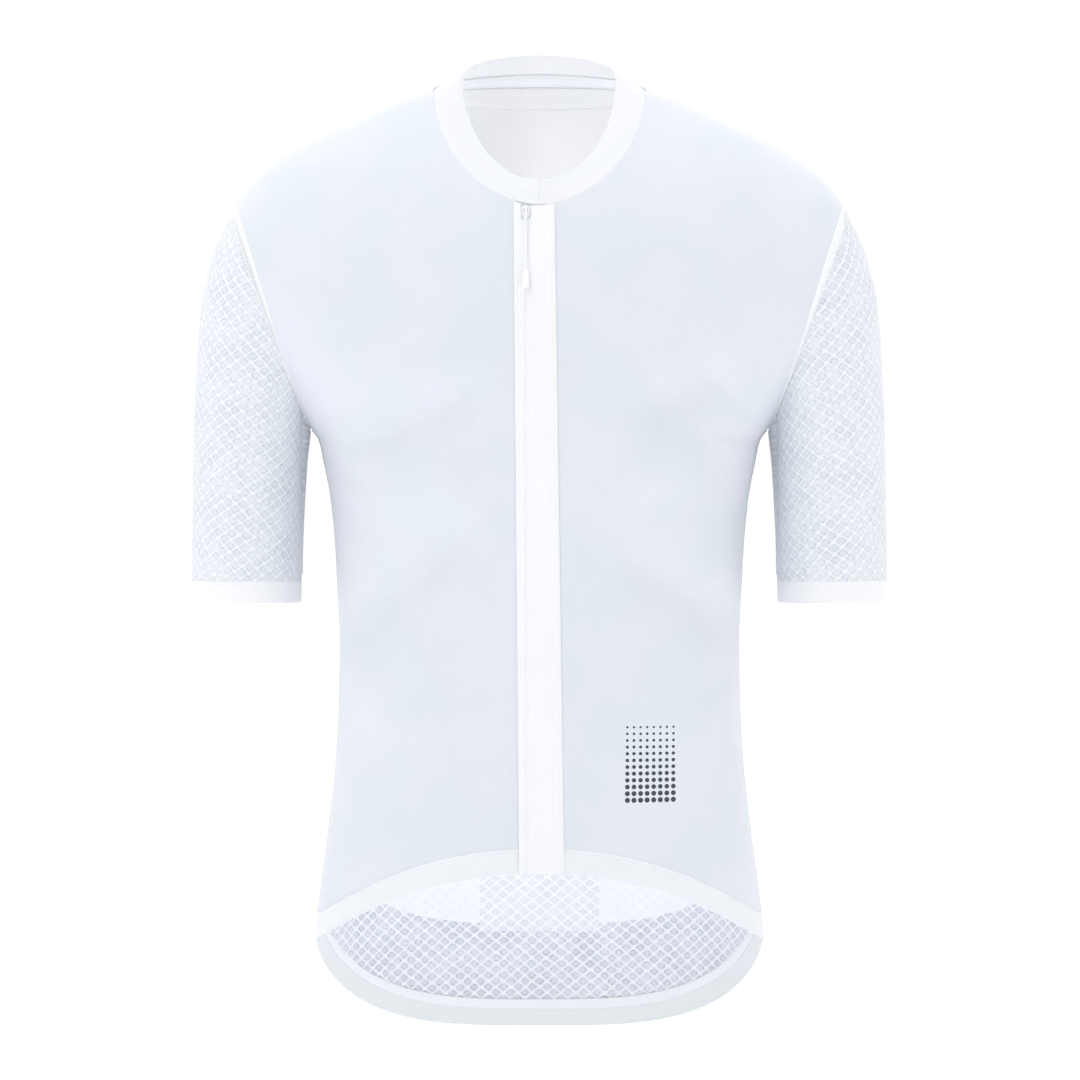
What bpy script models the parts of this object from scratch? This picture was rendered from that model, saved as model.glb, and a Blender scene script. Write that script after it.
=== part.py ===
"""Short-sleeved cycling jersey, kept in the shape it has when worn.

+X is the wearer's left, the front faces -Y and +Z is up. The origin lies between the shoulders,
at the level where the collar meets the shoulder line. All lengths are in metres.

The torso is one smooth surface. At each level it is a ring, |x / a|^n + |y / b|^n = 1, whose half
width a follows the shoulder line and the side seams, and whose half depth b has one value for the
front and one for the back. The panels are pieces of that surface, each a closed wall of cloth.
Half panels are worked out on the +X side; hand is 1 there and -1 on the mirrored side.
"""

import math

import bmesh
import bpy
import numpy as np
from mathutils import Matrix, Vector

MM = 0.001
FRONT, BACK = -1, 1

# Cloth walls, and the clearance that parts neighbouring pieces
CLOTH = 1.2 * MM
POCKET_CLOTH = 1.0 * MM
BAND = 1.6 * MM
COLLAR_CLOTH = 1.8 * MM
TAPE = 0.8 * MM
SEAM = 0.3 * MM
HALF_SEAM = SEAM / 2
NECK_SEAM = 0.5 * MM
LIFT = 0.4 * MM

# Torso
SQUARENESS = 2.25
NECK_HALF_WIDTH = 77.7 * MM
SHOULDER_TIP = (226.5 * MM, -90.3 * MM)
UNDERARM = (169.5 * MM, -249.4 * MM)
SIDE_HEM = (166.0 * MM, -626.0 * MM)
ARMHOLE_HALF_DEPTH = 62.0 * MM
# Beside an armhole a ring's half width follows from its edge, up to this share of the ring's depth
EDGE_DEPTH_LIMIT = 0.95

# Shoulder line: level and half width of its rings, in millimetres
SHOULDER = np.array(
    [
        (-90.3, 226.5),
        (-81.4, 221.0),
        (-72.5, 214.0),
        (-63.6, 206.0),
        (-45.9, 180.0),
        (-28.1, 142.5),
        (-10.4, 104.0),
        (0.0, 77.7),
        (5.1, 75.4),
        (9.4, 70.5),
        (13.5, 61.0),
    ],
    dtype=[("level", float), ("half_width", float)],
)
# Side seams: level and half width, in millimetres
SIDE = np.array(
    [
        (-710.0, 167.0),
        (-626.0, 166.0),
        (-599.0, 162.4),
        (-555.0, 156.5),
        (-496.0, 150.0),
        (-451.0, 147.6),
        (-407.0, 147.0),
        (-363.0, 149.0),
        (-333.0, 150.6),
        (-303.0, 153.6),
        (-274.0, 159.0),
        (-259.0, 162.4),
        (-249.4, 169.5),
    ],
    dtype=[("level", float), ("half_width", float)],
)
# Depth of the torso before and behind the side seams, in millimetres
DEPTH = np.array(
    [
        (-710.0, 113.0, 119.0),
        (-626.0, 112.0, 117.0),
        (-560.0, 110.5, 113.0),
        (-500.0, 108.0, 107.0),
        (-420.0, 106.0, 103.0),
        (-360.0, 108.0, 107.0),
        (-300.0, 113.0, 114.0),
        (-250.0, 117.0, 119.0),
        (-210.0, 118.0, 120.5),
        (-170.0, 114.5, 118.0),
        (-130.0, 106.0, 112.5),
        (-90.3, 91.8, 104.5),
        (-63.6, 78.5, 97.5),
        (-45.9, 66.0, 92.0),
        (-28.1, 53.0, 86.5),
        (-10.4, 38.5, 80.5),
        (0.0, 30.0, 76.5),
        (13.5, 20.0, 70.0),
    ],
    dtype=[("level", float), ("front", float), ("back", float)],
)

# Neckline and collar
FRONT_NECK_DROP = 93.5 * MM
BACK_NECK_RISE = 13.3 * MM
NECK_SQUARENESS = 1.9
YOKE_LEVEL = -176.0 * MM
COLLAR_TOP_HALF_WIDTH = 56.7 * MM
COLLAR_TOP_SIDE = 12.5 * MM
COLLAR_TOP_FRONT = -73.5 * MM
COLLAR_TOP_BACK = 32.5 * MM
COLLAR_TOP_FRONT_DEPTH = 78.0 * MM
COLLAR_TOP_BACK_DEPTH = 62.0 * MM
COLLAR_ENDS = (-0.7 * MM, 0.7 * MM)
NECK_TAPE_HALF = 3.0 * MM
NECK_TAPE_RISE = 0.3
FACING_TOP = 4.0 * MM
FACING_DROP = 17.0 * MM
FACING_TAPER = 0.45
GARAGE_ANGLES = (-0.24, 0.05)
GARAGE_RISE = (0.04, 0.46)

# Hems
FRONT_HEM_RISE = 55.1 * MM
FRONT_HEM_POWER = 2.2
FRONT_BAND = 18.0 * MM
TAIL_DROP = 79.6 * MM
TAIL_POWER = 3.2
TAIL_BAND = 16.0 * MM
TAIL_BAND_FLARE = 3.0 * MM

# Zip and placket. An edge has its x at the top and at the hem.
ZIP_X = -9.8 * MM
SLOT_HALF = 2.5 * MM
CHAIN_HALF = 1.9 * MM
GROOVE_HALF = 0.8 * MM
SLIDER_GAP_HALF = 3.6 * MM
SLIDER_GAP_LEVELS = (-106.0 * MM, -102.8 * MM)
ZIP_TAPE_HALF = 11.0 * MM
ZIP_TAPE_DEPTH = 2.6 * MM
CHAIN_WALL = (0.1 * MM, 2.2 * MM)
ZIP_TOP = -102.3 * MM
PLACKET_BOTTOM = -571.0 * MM
STRIP_EDGE = (-18.0 * MM, -13.9 * MM)
FLAP_EDGE = (10.4 * MM, 17.2 * MM)
PLACKET_ROWS = 20

# Slider and pull, in the slider's own frame: z along the zip, -y out of the cloth
SLIDER = (6.0 * MM, 2.6 * MM, 8.0 * MM)
SLIDER_STEM = (3.4 * MM, 2.4 * MM, 8.0 * MM)
CHEEK = (0.8 * MM, 2.9 * MM, 3.4 * MM)
CHEEK_X = 1.7 * MM
PIN_RADIUS = 0.55 * MM
PIN_OUT = 4.8 * MM
PIN_UP = 1.0 * MM
EYE_RADIUS = 1.5 * MM
EYE_BORE = 0.85 * MM
EYE_WIDTH = 1.8 * MM
CORD_LENGTH = 47.0 * MM
CORD_THICKNESS = 1.0 * MM
GRIP = (4.8 * MM, 1.8 * MM, 14.0 * MM)
GRIP_EDGE = 0.7 * MM
JOIN = 0.4 * MM
PULL_LEAN = math.radians(4.2)
ROUND_SIDES = 16

# Rows and columns of the panels
COLUMNS = 12
LOWER_ROWS = {FRONT: 15, BACK: 17}
UPPER_ROWS = 12
NECK_CORNER_ROW = 4
NECK_ROW_EASE = 1.35
YOKE_ROW = 5
YOKE_ROW_EASE = 1.9
RIDGE_COLUMN = 5
BACK_NECK_COLUMNS = slice(COLUMNS - RIDGE_COLUMN + 1, COLUMNS + RIDGE_COLUMN)
UNDERARM_ROWS = (0.93, 0.97, 1.0)
# The wall is cut aslant under the arm, and so runs longer there by up to this share
UNDERARM_STRETCH = 0.8
UNDERARM_SHARPNESS = 12
LEAST_SLANT = 0.45

# Sleeves: silhouettes of the outer and the inner side, in millimetres
SLEEVE_OUTER = np.array(
    [
        (-380.0, 257.5),
        (-303.0, 256.4),
        (-244.0, 255.3),
        (-214.6, 253.8),
        (-185.0, 252.3),
        (-155.4, 249.4),
        (-125.8, 242.5),
        (-111.0, 237.0),
        (-90.3, 226.5),
    ],
    dtype=[("level", float), ("x", float)],
)
SLEEVE_INNER = np.array(
    [
        (-380.0, 176.2),
        (-333.0, 175.4),
        (-303.0, 174.0),
        (-274.0, 172.2),
        (-259.0, 170.6),
        (-249.4, 169.5),
    ],
    dtype=[("level", float), ("x", float)],
)
CUFF_TOP = -363.0 * MM
CUFF_BOTTOM = -378.5 * MM
CUFF_HALF_DEPTH = 48.5 * MM
SLEEVE_ROWS = 10

# Pockets: the rows and columns of the back panel at their edges
POCKET_ROWS = (2.27, 7.8)
CENTRE_POCKET_ROW = 2.04
POCKET_COLUMNS = (-7.7, -2.28, -2.18, 2.18, 2.28, 7.7)

# Soft tension folds of the worn cloth, in millimetres. x and z give the two ends of a crease,
# spread its half width, and height how far it lies over (+) or under (-) the smooth surface.
FOLDS = np.array(
    [
        (FRONT, -136.0, -262.0, -34.0, -226.0, 19.0, -3.2),
        (FRONT, -112.0, -302.0, -52.0, -286.0, 20.0, 2.2),
        (FRONT, -143.0, -404.0, -50.0, -322.0, 20.0, -3.4),
        (FRONT, -128.0, -470.0, -66.0, -404.0, 22.0, 2.2),
        (FRONT, 70.0, -250.0, 138.0, -212.0, 19.0, -3.0),
        (FRONT, 64.0, -292.0, 116.0, -276.0, 20.0, 2.2),
        (FRONT, 62.0, -344.0, 146.0, -398.0, 21.0, -3.4),
        (FRONT, 58.0, -440.0, 122.0, -476.0, 22.0, 2.0),
        (BACK, -128.0, -268.0, -48.0, -300.0, 21.0, -3.0),
        (BACK, 134.0, -262.0, 56.0, -308.0, 20.0, -3.2),
        (BACK, -138.0, -372.0, -36.0, -408.0, 22.0, -3.4),
        (BACK, 138.0, -386.0, 30.0, -400.0, 22.0, -3.0),
        (BACK, -104.0, -340.0, 92.0, -348.0, 24.0, 2.4),
        (BACK, -96.0, -448.0, 102.0, -452.0, 24.0, 2.2),
    ],
    dtype=[
        ("side", int),
        ("x0", float),
        ("z0", float),
        ("x1", float),
        ("z1", float),
        ("spread", float),
        ("height", float),
    ],
)
FOLD_FREE_MARGIN = 24.0 * MM
FOLD_HALF_RUN = 0.48

COLLECTION = "cycling_jersey"
KNIT_WHITE = (0.80, 0.83, 0.90, 1.0)
BRIGHT_WHITE = (0.92, 0.93, 0.96, 1.0)
MESH_WHITE = (0.74, 0.77, 0.83, 1.0)
GRIPPER_GREY = (0.66, 0.69, 0.74, 1.0)
ZIP_WHITE = (0.88, 0.89, 0.92, 1.0)


# ---------------------------------------------------------------- curves and the torso's surface


def curve_through(at, value):
    """Returns a smooth function through the points (at, value), with no overshoot; at increases."""
    step = np.diff(at)
    slope = np.diff(value) / step
    tangent = np.zeros(len(at))
    before, after = slope[:-1], slope[1:]
    same_way = before * after > 0
    total = np.where(same_way, before + after, 1.0)
    tangent[1:-1] = np.where(same_way, 2 * before * after / total, 0.0)
    tangent[0], tangent[-1] = slope[0], slope[-1]

    def read(x):
        x = np.clip(np.asarray(x, float), at[0], at[-1])
        i = np.clip(np.searchsorted(at, x, side="right") - 1, 0, len(step) - 1)
        f = (x - at[i]) / step[i]
        return (
            value[i] * (1 + 2 * f) * (1 - f) ** 2
            + value[i + 1] * f**2 * (3 - 2 * f)
            + step[i] * (tangent[i] * f * (1 - f) ** 2 - tangent[i + 1] * f**2 * (1 - f))
        )

    return read


def column(table, at, value):
    return curve_through(table[at] * MM, table[value] * MM)


shoulder_half_width = column(SHOULDER, "level", "half_width")
side_half_width = column(SIDE, "level", "half_width")
depth_of = {FRONT: column(DEPTH, "level", "front"), BACK: column(DEPTH, "level", "back")}
sleeve_outer_x = column(SLEEVE_OUTER, "level", "x")
sleeve_inner_x = column(SLEEVE_INNER, "level", "x")

# The +X armhole lies in a plane through the y direction: its middle, its run from the underarm to
# the shoulder tip in front view, and its normal towards the sleeve
ARMHOLE_MIDDLE = (np.array(SHOULDER_TIP) + np.array(UNDERARM)) / 2
ARMHOLE_RUN = np.array(SHOULDER_TIP) - np.array(UNDERARM)
ARMHOLE_HALF_LENGTH = np.hypot(*ARMHOLE_RUN) / 2
ALONG_ARMHOLE = np.array([ARMHOLE_RUN[0], 0.0, ARMHOLE_RUN[1]]) / (2 * ARMHOLE_HALF_LENGTH)
TO_SLEEVE = np.array([ALONG_ARMHOLE[2], 0.0, -ALONG_ARMHOLE[0]])
THROUGH = np.array([0.0, 1.0, 0.0])
UP = np.array([0.0, 0.0, 1.0])


def unit(vectors):
    return vectors / np.linalg.norm(vectors, axis=-1, keepdims=True)


def pair(x, level):
    return np.stack(np.broadcast_arrays(x, level), axis=-1).astype(float)


def half_width(level, side):
    """Half width of the torso's ring. Beside the armhole it is that of the ring through its edge."""
    level = np.asarray(level, float)
    along = (level - ARMHOLE_MIDDLE[1]) / (ARMHOLE_RUN[1] / 2)
    edge_x = ARMHOLE_MIDDLE[0] + along * ARMHOLE_RUN[0] / 2
    edge_y = ARMHOLE_HALF_DEPTH * np.sqrt(np.clip(1 - along**2, 0, 1))
    share = np.clip(edge_y / depth_of[side](level), 0, EDGE_DEPTH_LIMIT)
    beside = edge_x / (1 - share**SQUARENESS) ** (1 / SQUARENESS)
    beyond = np.where(along > 0, shoulder_half_width(level), side_half_width(level))
    return np.where(np.abs(along) < 1, beside, beyond)


def torso_y(x, level, side):
    share = np.clip(np.abs(x) / half_width(level, side), 0, 1)
    return side * depth_of[side](level) * (1 - share**SQUARENESS) ** (1 / SQUARENESS)


def outward(points, side):
    """Outward unit normals of a grid of points whose rows run along +x and whose columns run up."""
    along = np.gradient(points, axis=1)
    up = np.gradient(points, axis=0)
    return unit(-side * np.cross(along, up))


def fold_height(x, level, side):
    """Height of the tension folds over the smooth surface, fading out at the zip and the seams."""
    total = np.zeros(np.shape(x))
    for fold in FOLDS[FOLDS["side"] == side]:
        start = np.array([fold["x0"], fold["z0"]]) * MM
        run = np.array([fold["x1"], fold["z1"]]) * MM - start
        offset = pair(x - start[0], level - start[1])
        along = (offset @ run) / (run @ run)
        away = (offset[..., 0] * run[1] - offset[..., 1] * run[0]) / np.hypot(*run)
        taper = np.exp(-((np.abs(along - 0.5) / FOLD_HALF_RUN) ** 4))
        total += fold["height"] * MM * taper * np.exp(-((away / (fold["spread"] * MM)) ** 2))
    clear_of_zip = np.clip(np.abs(x) / FOLD_FREE_MARGIN - 1, 0, 1) if side == FRONT else 1.0
    to_edge = 1 - np.clip(np.abs(x) / half_width(level, side), 0, 1) ** 8
    return total * clear_of_zip * to_edge


# ---------------------------------------------------------------- sheets and walls of cloth


class Sheet:
    """A grid of points on the cloth's outer face, with the direction in which its wall runs."""

    def __init__(self, points, out):
        self.points = points
        self.out = out

    def part(self, rows=slice(None), columns=slice(None)):
        return Sheet(self.points[rows, columns].copy(), self.out[rows, columns].copy())

    def mirrored(self):
        flip = np.array([-1.0, 1.0, 1.0])
        return Sheet(self.points[:, ::-1] * flip, self.out[:, ::-1] * flip)

    def sampled(self, rows, columns):
        """The Sheet at fractional rows and columns."""
        picked = []
        for grid in (self.points, self.out):
            for axis, at in ((0, rows), (1, columns)):
                at = np.asarray(at, float)
                low = np.clip(np.floor(at).astype(int), 0, grid.shape[axis] - 2)
                share = (at - low).reshape((-1, 1, 1) if axis == 0 else (1, -1, 1))
                grid = (1 - share) * grid.take(low, axis) + share * grid.take(low + 1, axis)
            picked.append(grid)
        return Sheet(*picked)

    def trim(self, edge, inward):
        """Draws an edge row back by half a seam's clearance."""
        self.points[edge] += HALF_SEAM * unit(self.points[inward] - self.points[edge])

    def keep_to_plane(self, where, normal):
        """Turns an edge's wall direction into a plane, longer there so the cloth stays as thick."""
        out = self.out[where]
        flat = out - (out @ normal)[..., None] * normal
        length = np.linalg.norm(flat, axis=-1, keepdims=True)
        self.out[where] = flat / length / np.clip(length, LEAST_SLANT, 1)


def on_torso(grid, side, hand=1):
    """The Sheet over a front-view grid of (x, level), with its tension folds."""
    x, level = grid[..., 0], grid[..., 1]
    points = np.stack([x, torso_y(x, level, side), level], axis=-1)
    points += outward(points, side) * fold_height(hand * x, level, side)[..., None]
    return Sheet(points, outward(points, side))


def wall_mesh(outer, inner, ring):
    """Vertices and triangles of the wall between two grids; a ring's last column meets its first."""
    rows, columns = outer.shape[:2]
    count = rows * columns
    vertices = np.vstack([outer.reshape(-1, 3), inner.reshape(-1, 3)])
    spans = columns if ring else columns - 1
    triangles = []

    def quad(a, b, c, d):
        triangles.extend([(a, b, c), (a, c, d)])

    for row in range(rows - 1):
        for start in range(spans):
            a = row * columns + start
            b = row * columns + (start + 1) % columns
            quad(a, b, b + columns, a + columns)
            quad(count + a, count + a + columns, count + b + columns, count + b)
    for row, turn in ((0, 1), (rows - 1, -1)):
        for start in range(spans):
            a = row * columns + start
            b = row * columns + (start + 1) % columns
            quad(*(b, a, count + a, count + b)[::turn])
    for start, turn in () if ring else ((0, -1), (columns - 1, 1)):
        for row in range(rows - 1):
            a = row * columns + start
            b = a + columns
            quad(*(b, a, count + a, count + b)[::turn])
    return vertices, triangles


def place(piece_name, mesh, look):
    mesh.materials.append(look)
    mesh.shade_smooth()
    mesh.set_sharp_from_angle(angle=math.radians(40))
    piece = bpy.data.objects.new(piece_name, mesh)
    bpy.data.collections[COLLECTION].objects.link(piece)
    return piece


def wall(name, sheet, look, outer, inner, ring=False):
    """A closed wall of cloth between two heights over a Sheet."""
    faces = wall_mesh(sheet.points + sheet.out * outer, sheet.points + sheet.out * inner, ring)
    mesh = bpy.data.meshes.new(name)
    mesh.from_pydata([tuple(vertex) for vertex in faces[0]], [], faces[1])
    shape = bmesh.new()
    shape.from_mesh(mesh)
    bmesh.ops.recalc_face_normals(shape, faces=shape.faces)
    shape.to_mesh(mesh)
    shape.free()
    return place(name, mesh, look)


def cloth(name, sheet, look, thickness=CLOTH, ring=False):
    return wall(name, sheet, look, 0.0, -thickness, ring)


def overlay(name, sheet, look, thickness, lift=LIFT):
    return wall(name, sheet, look, lift + thickness, lift)


# ---------------------------------------------------------------- outlines in front view


def front_hem(share):
    """Level of the front hem at a share of the way from the middle to the side seam."""
    return SIDE_HEM[1] + FRONT_HEM_RISE * (1 - share**FRONT_HEM_POWER)


def front_band_top(share):
    return front_hem(share) + FRONT_BAND


def tail_hem(share):
    return SIDE_HEM[1] - TAIL_DROP * np.sqrt(1 - share**TAIL_POWER)


def tail_band_top(share):
    return tail_hem(share) + TAIL_BAND + TAIL_BAND_FLARE * share**2


def front_neckline(angle):
    """The front neckline: angle 0 is the middle and a right angle the shoulder."""
    power = 2 / NECK_SQUARENESS
    x = NECK_HALF_WIDTH * np.sign(angle) * np.abs(np.sin(angle)) ** power
    return pair(x, -FRONT_NECK_DROP * np.clip(np.cos(angle), 0, 1) ** power)


def front_neck_angle(x):
    return math.copysign(math.asin((abs(x) / NECK_HALF_WIDTH) ** (NECK_SQUARENESS / 2)), x)


def back_neckline(angle):
    return pair(NECK_HALF_WIDTH * np.sin(angle), BACK_NECK_RISE * np.clip(np.cos(angle), 0, 1))


def shoulder_line(x):
    levels = np.linspace(SHOULDER_TIP[1], 0, 400)
    widths = shoulder_half_width(levels)
    return pair(x, np.interp(x, widths[::-1], levels[::-1]))


def armhole_line(t):
    """The +X armhole's edge from underarm (t = 0) to shoulder tip (t = 1), in even turns."""
    return ARMHOLE_MIDDLE - np.cos(np.pi * t)[:, None] * ARMHOLE_RUN / 2


def armhole_out(angle):
    """Wall direction round the +X armhole: out of its loop, in its plane; angle 0 is the shoulder."""
    along = np.cos(angle)[:, None] * ARMHOLE_HALF_DEPTH * ALONG_ARMHOLE
    across = np.sin(angle)[:, None] * ARMHOLE_HALF_LENGTH * THROUGH
    under_arm = np.clip(-np.cos(angle), 0, 1) ** UNDERARM_SHARPNESS
    return unit(along + across) * (1 + UNDERARM_STRETCH * under_arm)[:, None]


# ---------------------------------------------------------------- panels of the torso


def column_shares():
    """Shares of the way from the middle to the side, closer together where the torso turns."""
    return np.sin(np.linspace(0, math.pi / 2, COLUMNS + 1))


def row_shares(side):
    even = np.linspace(0, UNDERARM_ROWS[0], LOWER_ROWS[side] - 1)
    return np.concatenate([even, UNDERARM_ROWS[1:]])


def patch(bottom, top, left, right, s, t):
    """The Coons patch between four curves; s runs along its rows and t up its columns."""
    s, t = s[None, :, None], t[:, None, None]
    corners = (1 - s) * (1 - t) * bottom[0] + s * (1 - t) * bottom[-1]
    corners = corners + (1 - s) * t * top[0] + s * t * top[-1]
    across = (1 - s) * left[:, None, :] + s * right[:, None, :]
    return across + (1 - t) * bottom[None] + t * top[None] - corners


def hem_line(inner_x, hem, edge_x=None):
    """Front-view points along a hem on a panel's columns, from inner_x or from edge_x to the side."""
    end = side_half_width(hem(1.0))
    x = inner_x + (end - inner_x) * column_shares()
    if edge_x is not None:
        x = np.concatenate([[edge_x], x[x > edge_x + CLOTH]])
    return pair(x, hem(np.abs(x) / end))


def lower_grid(inner_x, hem, side):
    """Front-view points from a hem to the underarm level, from inner_x out to the side seam."""
    s, t = column_shares(), row_shares(side)
    bottom = hem_line(inner_x, hem) + (0, HALF_SEAM)
    top = pair(inner_x + (UNDERARM[0] - inner_x) * s, UNDERARM[1])
    left = pair(inner_x, bottom[0, 1] + (UNDERARM[1] - bottom[0, 1]) * t)
    side_levels = bottom[-1, 1] + (UNDERARM[1] - bottom[-1, 1]) * t
    return patch(bottom, top, left, pair(side_half_width(side_levels), side_levels), s, t)


def front_neck_edge(inner_x):
    """The inner edge of a front above the underarm level: up the zip, then round the neckline."""
    first = front_neck_angle(inner_x)
    corner = front_neckline(np.array([first]))[0, 1]
    straight = np.linspace(UNDERARM[1], corner, NECK_CORNER_ROW + 1)[:-1]
    swing = np.linspace(0, 1, UPPER_ROWS - NECK_CORNER_ROW + 1)
    angles = math.pi / 2 - (math.pi / 2 - first) * (1 - swing) ** NECK_ROW_EASE
    return np.vstack([pair(inner_x, straight), front_neckline(angles)]), angles


def ridge_line(shares):
    """The shoulder line at shares of the way from the neck to the shoulder tip."""
    beyond = (shares - shares[0]) / (1 - shares[0])
    return shoulder_line(NECK_HALF_WIDTH + (SHOULDER_TIP[0] - NECK_HALF_WIDTH) * beyond)


def front_grid(inner_x):
    """Front-view points of a +X front, from its hem band to the neckline and the shoulder line."""
    s, t = column_shares(), np.linspace(0, 1, UPPER_ROWS + 1)
    underarm = pair(inner_x + (UNDERARM[0] - inner_x) * s, UNDERARM[1])
    inner_edge = front_neck_edge(inner_x)[0]
    upper = patch(underarm, ridge_line(s), inner_edge, armhole_line(t), s, t)
    return np.vstack([lower_grid(inner_x, front_band_top, FRONT), upper[1:]])


def back_grid():
    """Front-view points of the +X half of the back and the yoke over it."""
    s, t = column_shares(), np.linspace(0, 1, UPPER_ROWS + 1)
    armhole = armhole_line(t)
    seam_end = armhole[YOKE_ROW]
    underarm = pair(UNDERARM[0] * s, UNDERARM[1])
    seam = pair(seam_end[0] * s, YOKE_LEVEL + (seam_end[1] - YOKE_LEVEL) * s**2)
    neck = back_neckline(np.linspace(0, math.pi / 2, RIDGE_COLUMN + 1))
    top = np.vstack([neck[:-1], ridge_line(s[RIDGE_COLUMN:])])
    rise = np.linspace(0, 1, YOKE_ROW + 1)
    middle = pair(0.0, UNDERARM[1] + (YOKE_LEVEL - UNDERARM[1]) * rise)
    under = patch(underarm, seam, middle, armhole[: YOKE_ROW + 1], s, rise)
    rise = np.linspace(0, 1, UPPER_ROWS - YOKE_ROW + 1)
    eased = 1 - (1 - rise) ** YOKE_ROW_EASE
    middle = pair(0.0, YOKE_LEVEL + (BACK_NECK_RISE - YOKE_LEVEL) * eased)
    over = patch(seam, top, middle, armhole[YOKE_ROW:], s, rise)
    return np.vstack([lower_grid(0.0, tail_band_top, BACK), under[1:], over[1:]])


def both_halves(grid):
    """A front-view grid from side to side, from its +X half."""
    return np.concatenate([grid[:, :0:-1] * (-1, 1), grid], axis=1)


def finish_side(sheet, side):
    """Fits a panel's +X side seam, armhole and shoulder line to the pieces that meet it there."""
    underarm = LOWER_ROWS[side]
    shoulder = COLUMNS + 1 - (0 if side == FRONT else RIDGE_COLUMN)
    for seam in ((slice(0, underarm), -1), (-1, slice(-shoulder, None))):
        sheet.points[seam + (1,)] = side * HALF_SEAM
        sheet.keep_to_plane(seam, THROUGH)
    sheet.out[underarm:, -1] = armhole_out(side * np.linspace(math.pi, 0, UPPER_ROWS + 1))
    sheet.points[underarm:, -1] -= TO_SLEEVE * HALF_SEAM
    sheet.points[underarm, -1, 1] = side * HALF_SEAM


def front_panel(hand):
    sheet = on_torso(front_grid(ZIP_X * hand + SLOT_HALF), FRONT, hand)
    finish_side(sheet, FRONT)
    return on_hand(sheet, hand)


def back_and_yoke():
    """The back and the yoke over it, each from side to side."""
    whole = on_torso(both_halves(back_grid()), BACK)
    finish_side(whole, BACK)
    whole = whole.mirrored()
    finish_side(whole, BACK)
    whole = whole.mirrored()
    seam = LOWER_ROWS[BACK] + YOKE_ROW
    back, yoke = whole.part(slice(0, seam + 1)), whole.part(slice(seam, None))
    back.trim(-1, -2)
    yoke.trim(0, 1)
    return back, yoke


def on_hand(sheet, hand):
    return sheet if hand > 0 else sheet.mirrored()


def band_grid(inner_x, edge_x, hem, band_top):
    """Front-view points of a +X half of a hem band."""
    low = hem_line(inner_x, hem, edge_x)
    high = hem_line(inner_x, band_top, edge_x) - (0, HALF_SEAM)
    return np.stack([low, (low + high) / 2, high])


def finish_band(sheet, side):
    sheet.points[:, -1, 1] = side * HALF_SEAM
    sheet.keep_to_plane((slice(None), -1), THROUGH)


def front_band(hand):
    edge_x = FLAP_EDGE[1] if hand > 0 else -STRIP_EDGE[1]
    grid = band_grid(ZIP_X * hand + SLOT_HALF, edge_x + SEAM, front_hem, front_band_top)
    sheet = on_torso(grid, FRONT, hand)
    finish_band(sheet, FRONT)
    return on_hand(sheet, hand)


def tail_band():
    sheet = on_torso(both_halves(band_grid(0.0, None, tail_hem, tail_band_top)), BACK)
    finish_band(sheet, BACK)
    sheet = sheet.mirrored()
    finish_band(sheet, BACK)
    return sheet


# ---------------------------------------------------------------- neck


def collar_top(angle, side):
    """The collar's upper edge; angle runs from the middle to a right angle over the shoulder."""
    depth = COLLAR_TOP_FRONT_DEPTH if side == FRONT else COLLAR_TOP_BACK_DEPTH
    middle = COLLAR_TOP_FRONT if side == FRONT else COLLAR_TOP_BACK
    x = COLLAR_TOP_HALF_WIDTH * np.sin(angle)
    level = COLLAR_TOP_SIDE + (middle - COLLAR_TOP_SIDE) * np.cos(angle)
    return np.stack([x, side * depth * np.cos(angle), level], axis=-1)


def ruled(seam, top, seam_out, shares):
    """A Sheet ruled from a seam to an upper edge; its wall turns from the seam's to its own."""
    along = np.gradient(seam + top, axis=0)
    own = unit(np.cross(along, top - seam))
    own *= np.sign(np.sum(own * seam_out, axis=-1, keepdims=True))
    points = np.stack([seam + (top - seam) * share for share in shares])
    turn = [min(share * 2, 1) for share in shares]
    out = np.stack([unit(seam_out * (1 - share) + own * share) for share in turn])
    return Sheet(points, out)


def neck_seam(fronts, yoke):
    """The neck seam from the right front's zip edge, round the back, to the left front's.

    Returns its points, its wall directions, and the collar's upper edge over each point.
    """

    def front_side(hand):
        edge = (slice(LOWER_ROWS[FRONT] + NECK_CORNER_ROW, None), 0 if hand > 0 else -1)
        angle = front_neck_edge(ZIP_X * hand + SLOT_HALF)[1]
        top = collar_top(angle, FRONT) * (hand, 1, 1)
        return fronts[hand].points[edge], fronts[hand].out[edge], top

    angle = np.linspace(-math.pi / 2, math.pi / 2, 2 * RIDGE_COLUMN + 1)[1:-1]
    behind = (-1, BACK_NECK_COLUMNS)
    back = yoke.points[behind], yoke.out[behind], collar_top(angle, BACK)
    left = [values[::-1] for values in front_side(1)]
    return [np.vstack(values) for values in zip(front_side(-1), back, left)]


def collar_sheet(fronts, yoke):
    """The collar from end to end. Its ends meet in front, over the left front's inner edge."""
    seam, out, top = neck_seam(fronts, yoke)
    start, past = seam[-1], seam[-2]
    ends = [start + (x - start[0]) / (past[0] - start[0]) * (past - start) for x in COLLAR_ENDS]
    seam = np.vstack([ends[0], start, seam[:-1], ends[1]])
    out = unit(np.vstack([out[-1], out[-1], out[:-1], out[-1]]))
    first = [front_neck_angle(x) for x in (COLLAR_ENDS[0], start[0])]
    last = front_neck_angle(COLLAR_ENDS[1])
    corners = [collar_top(np.array(angles), FRONT) for angles in (first, [last])]
    top = np.vstack([corners[0], top[:-1], corners[1]])
    rise = top - seam
    square = rise - np.sum(rise * out, axis=-1, keepdims=True) * out
    return ruled(seam + unit(square) * NECK_SEAM, top, out, (0.0, 0.5, 1.0))


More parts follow.
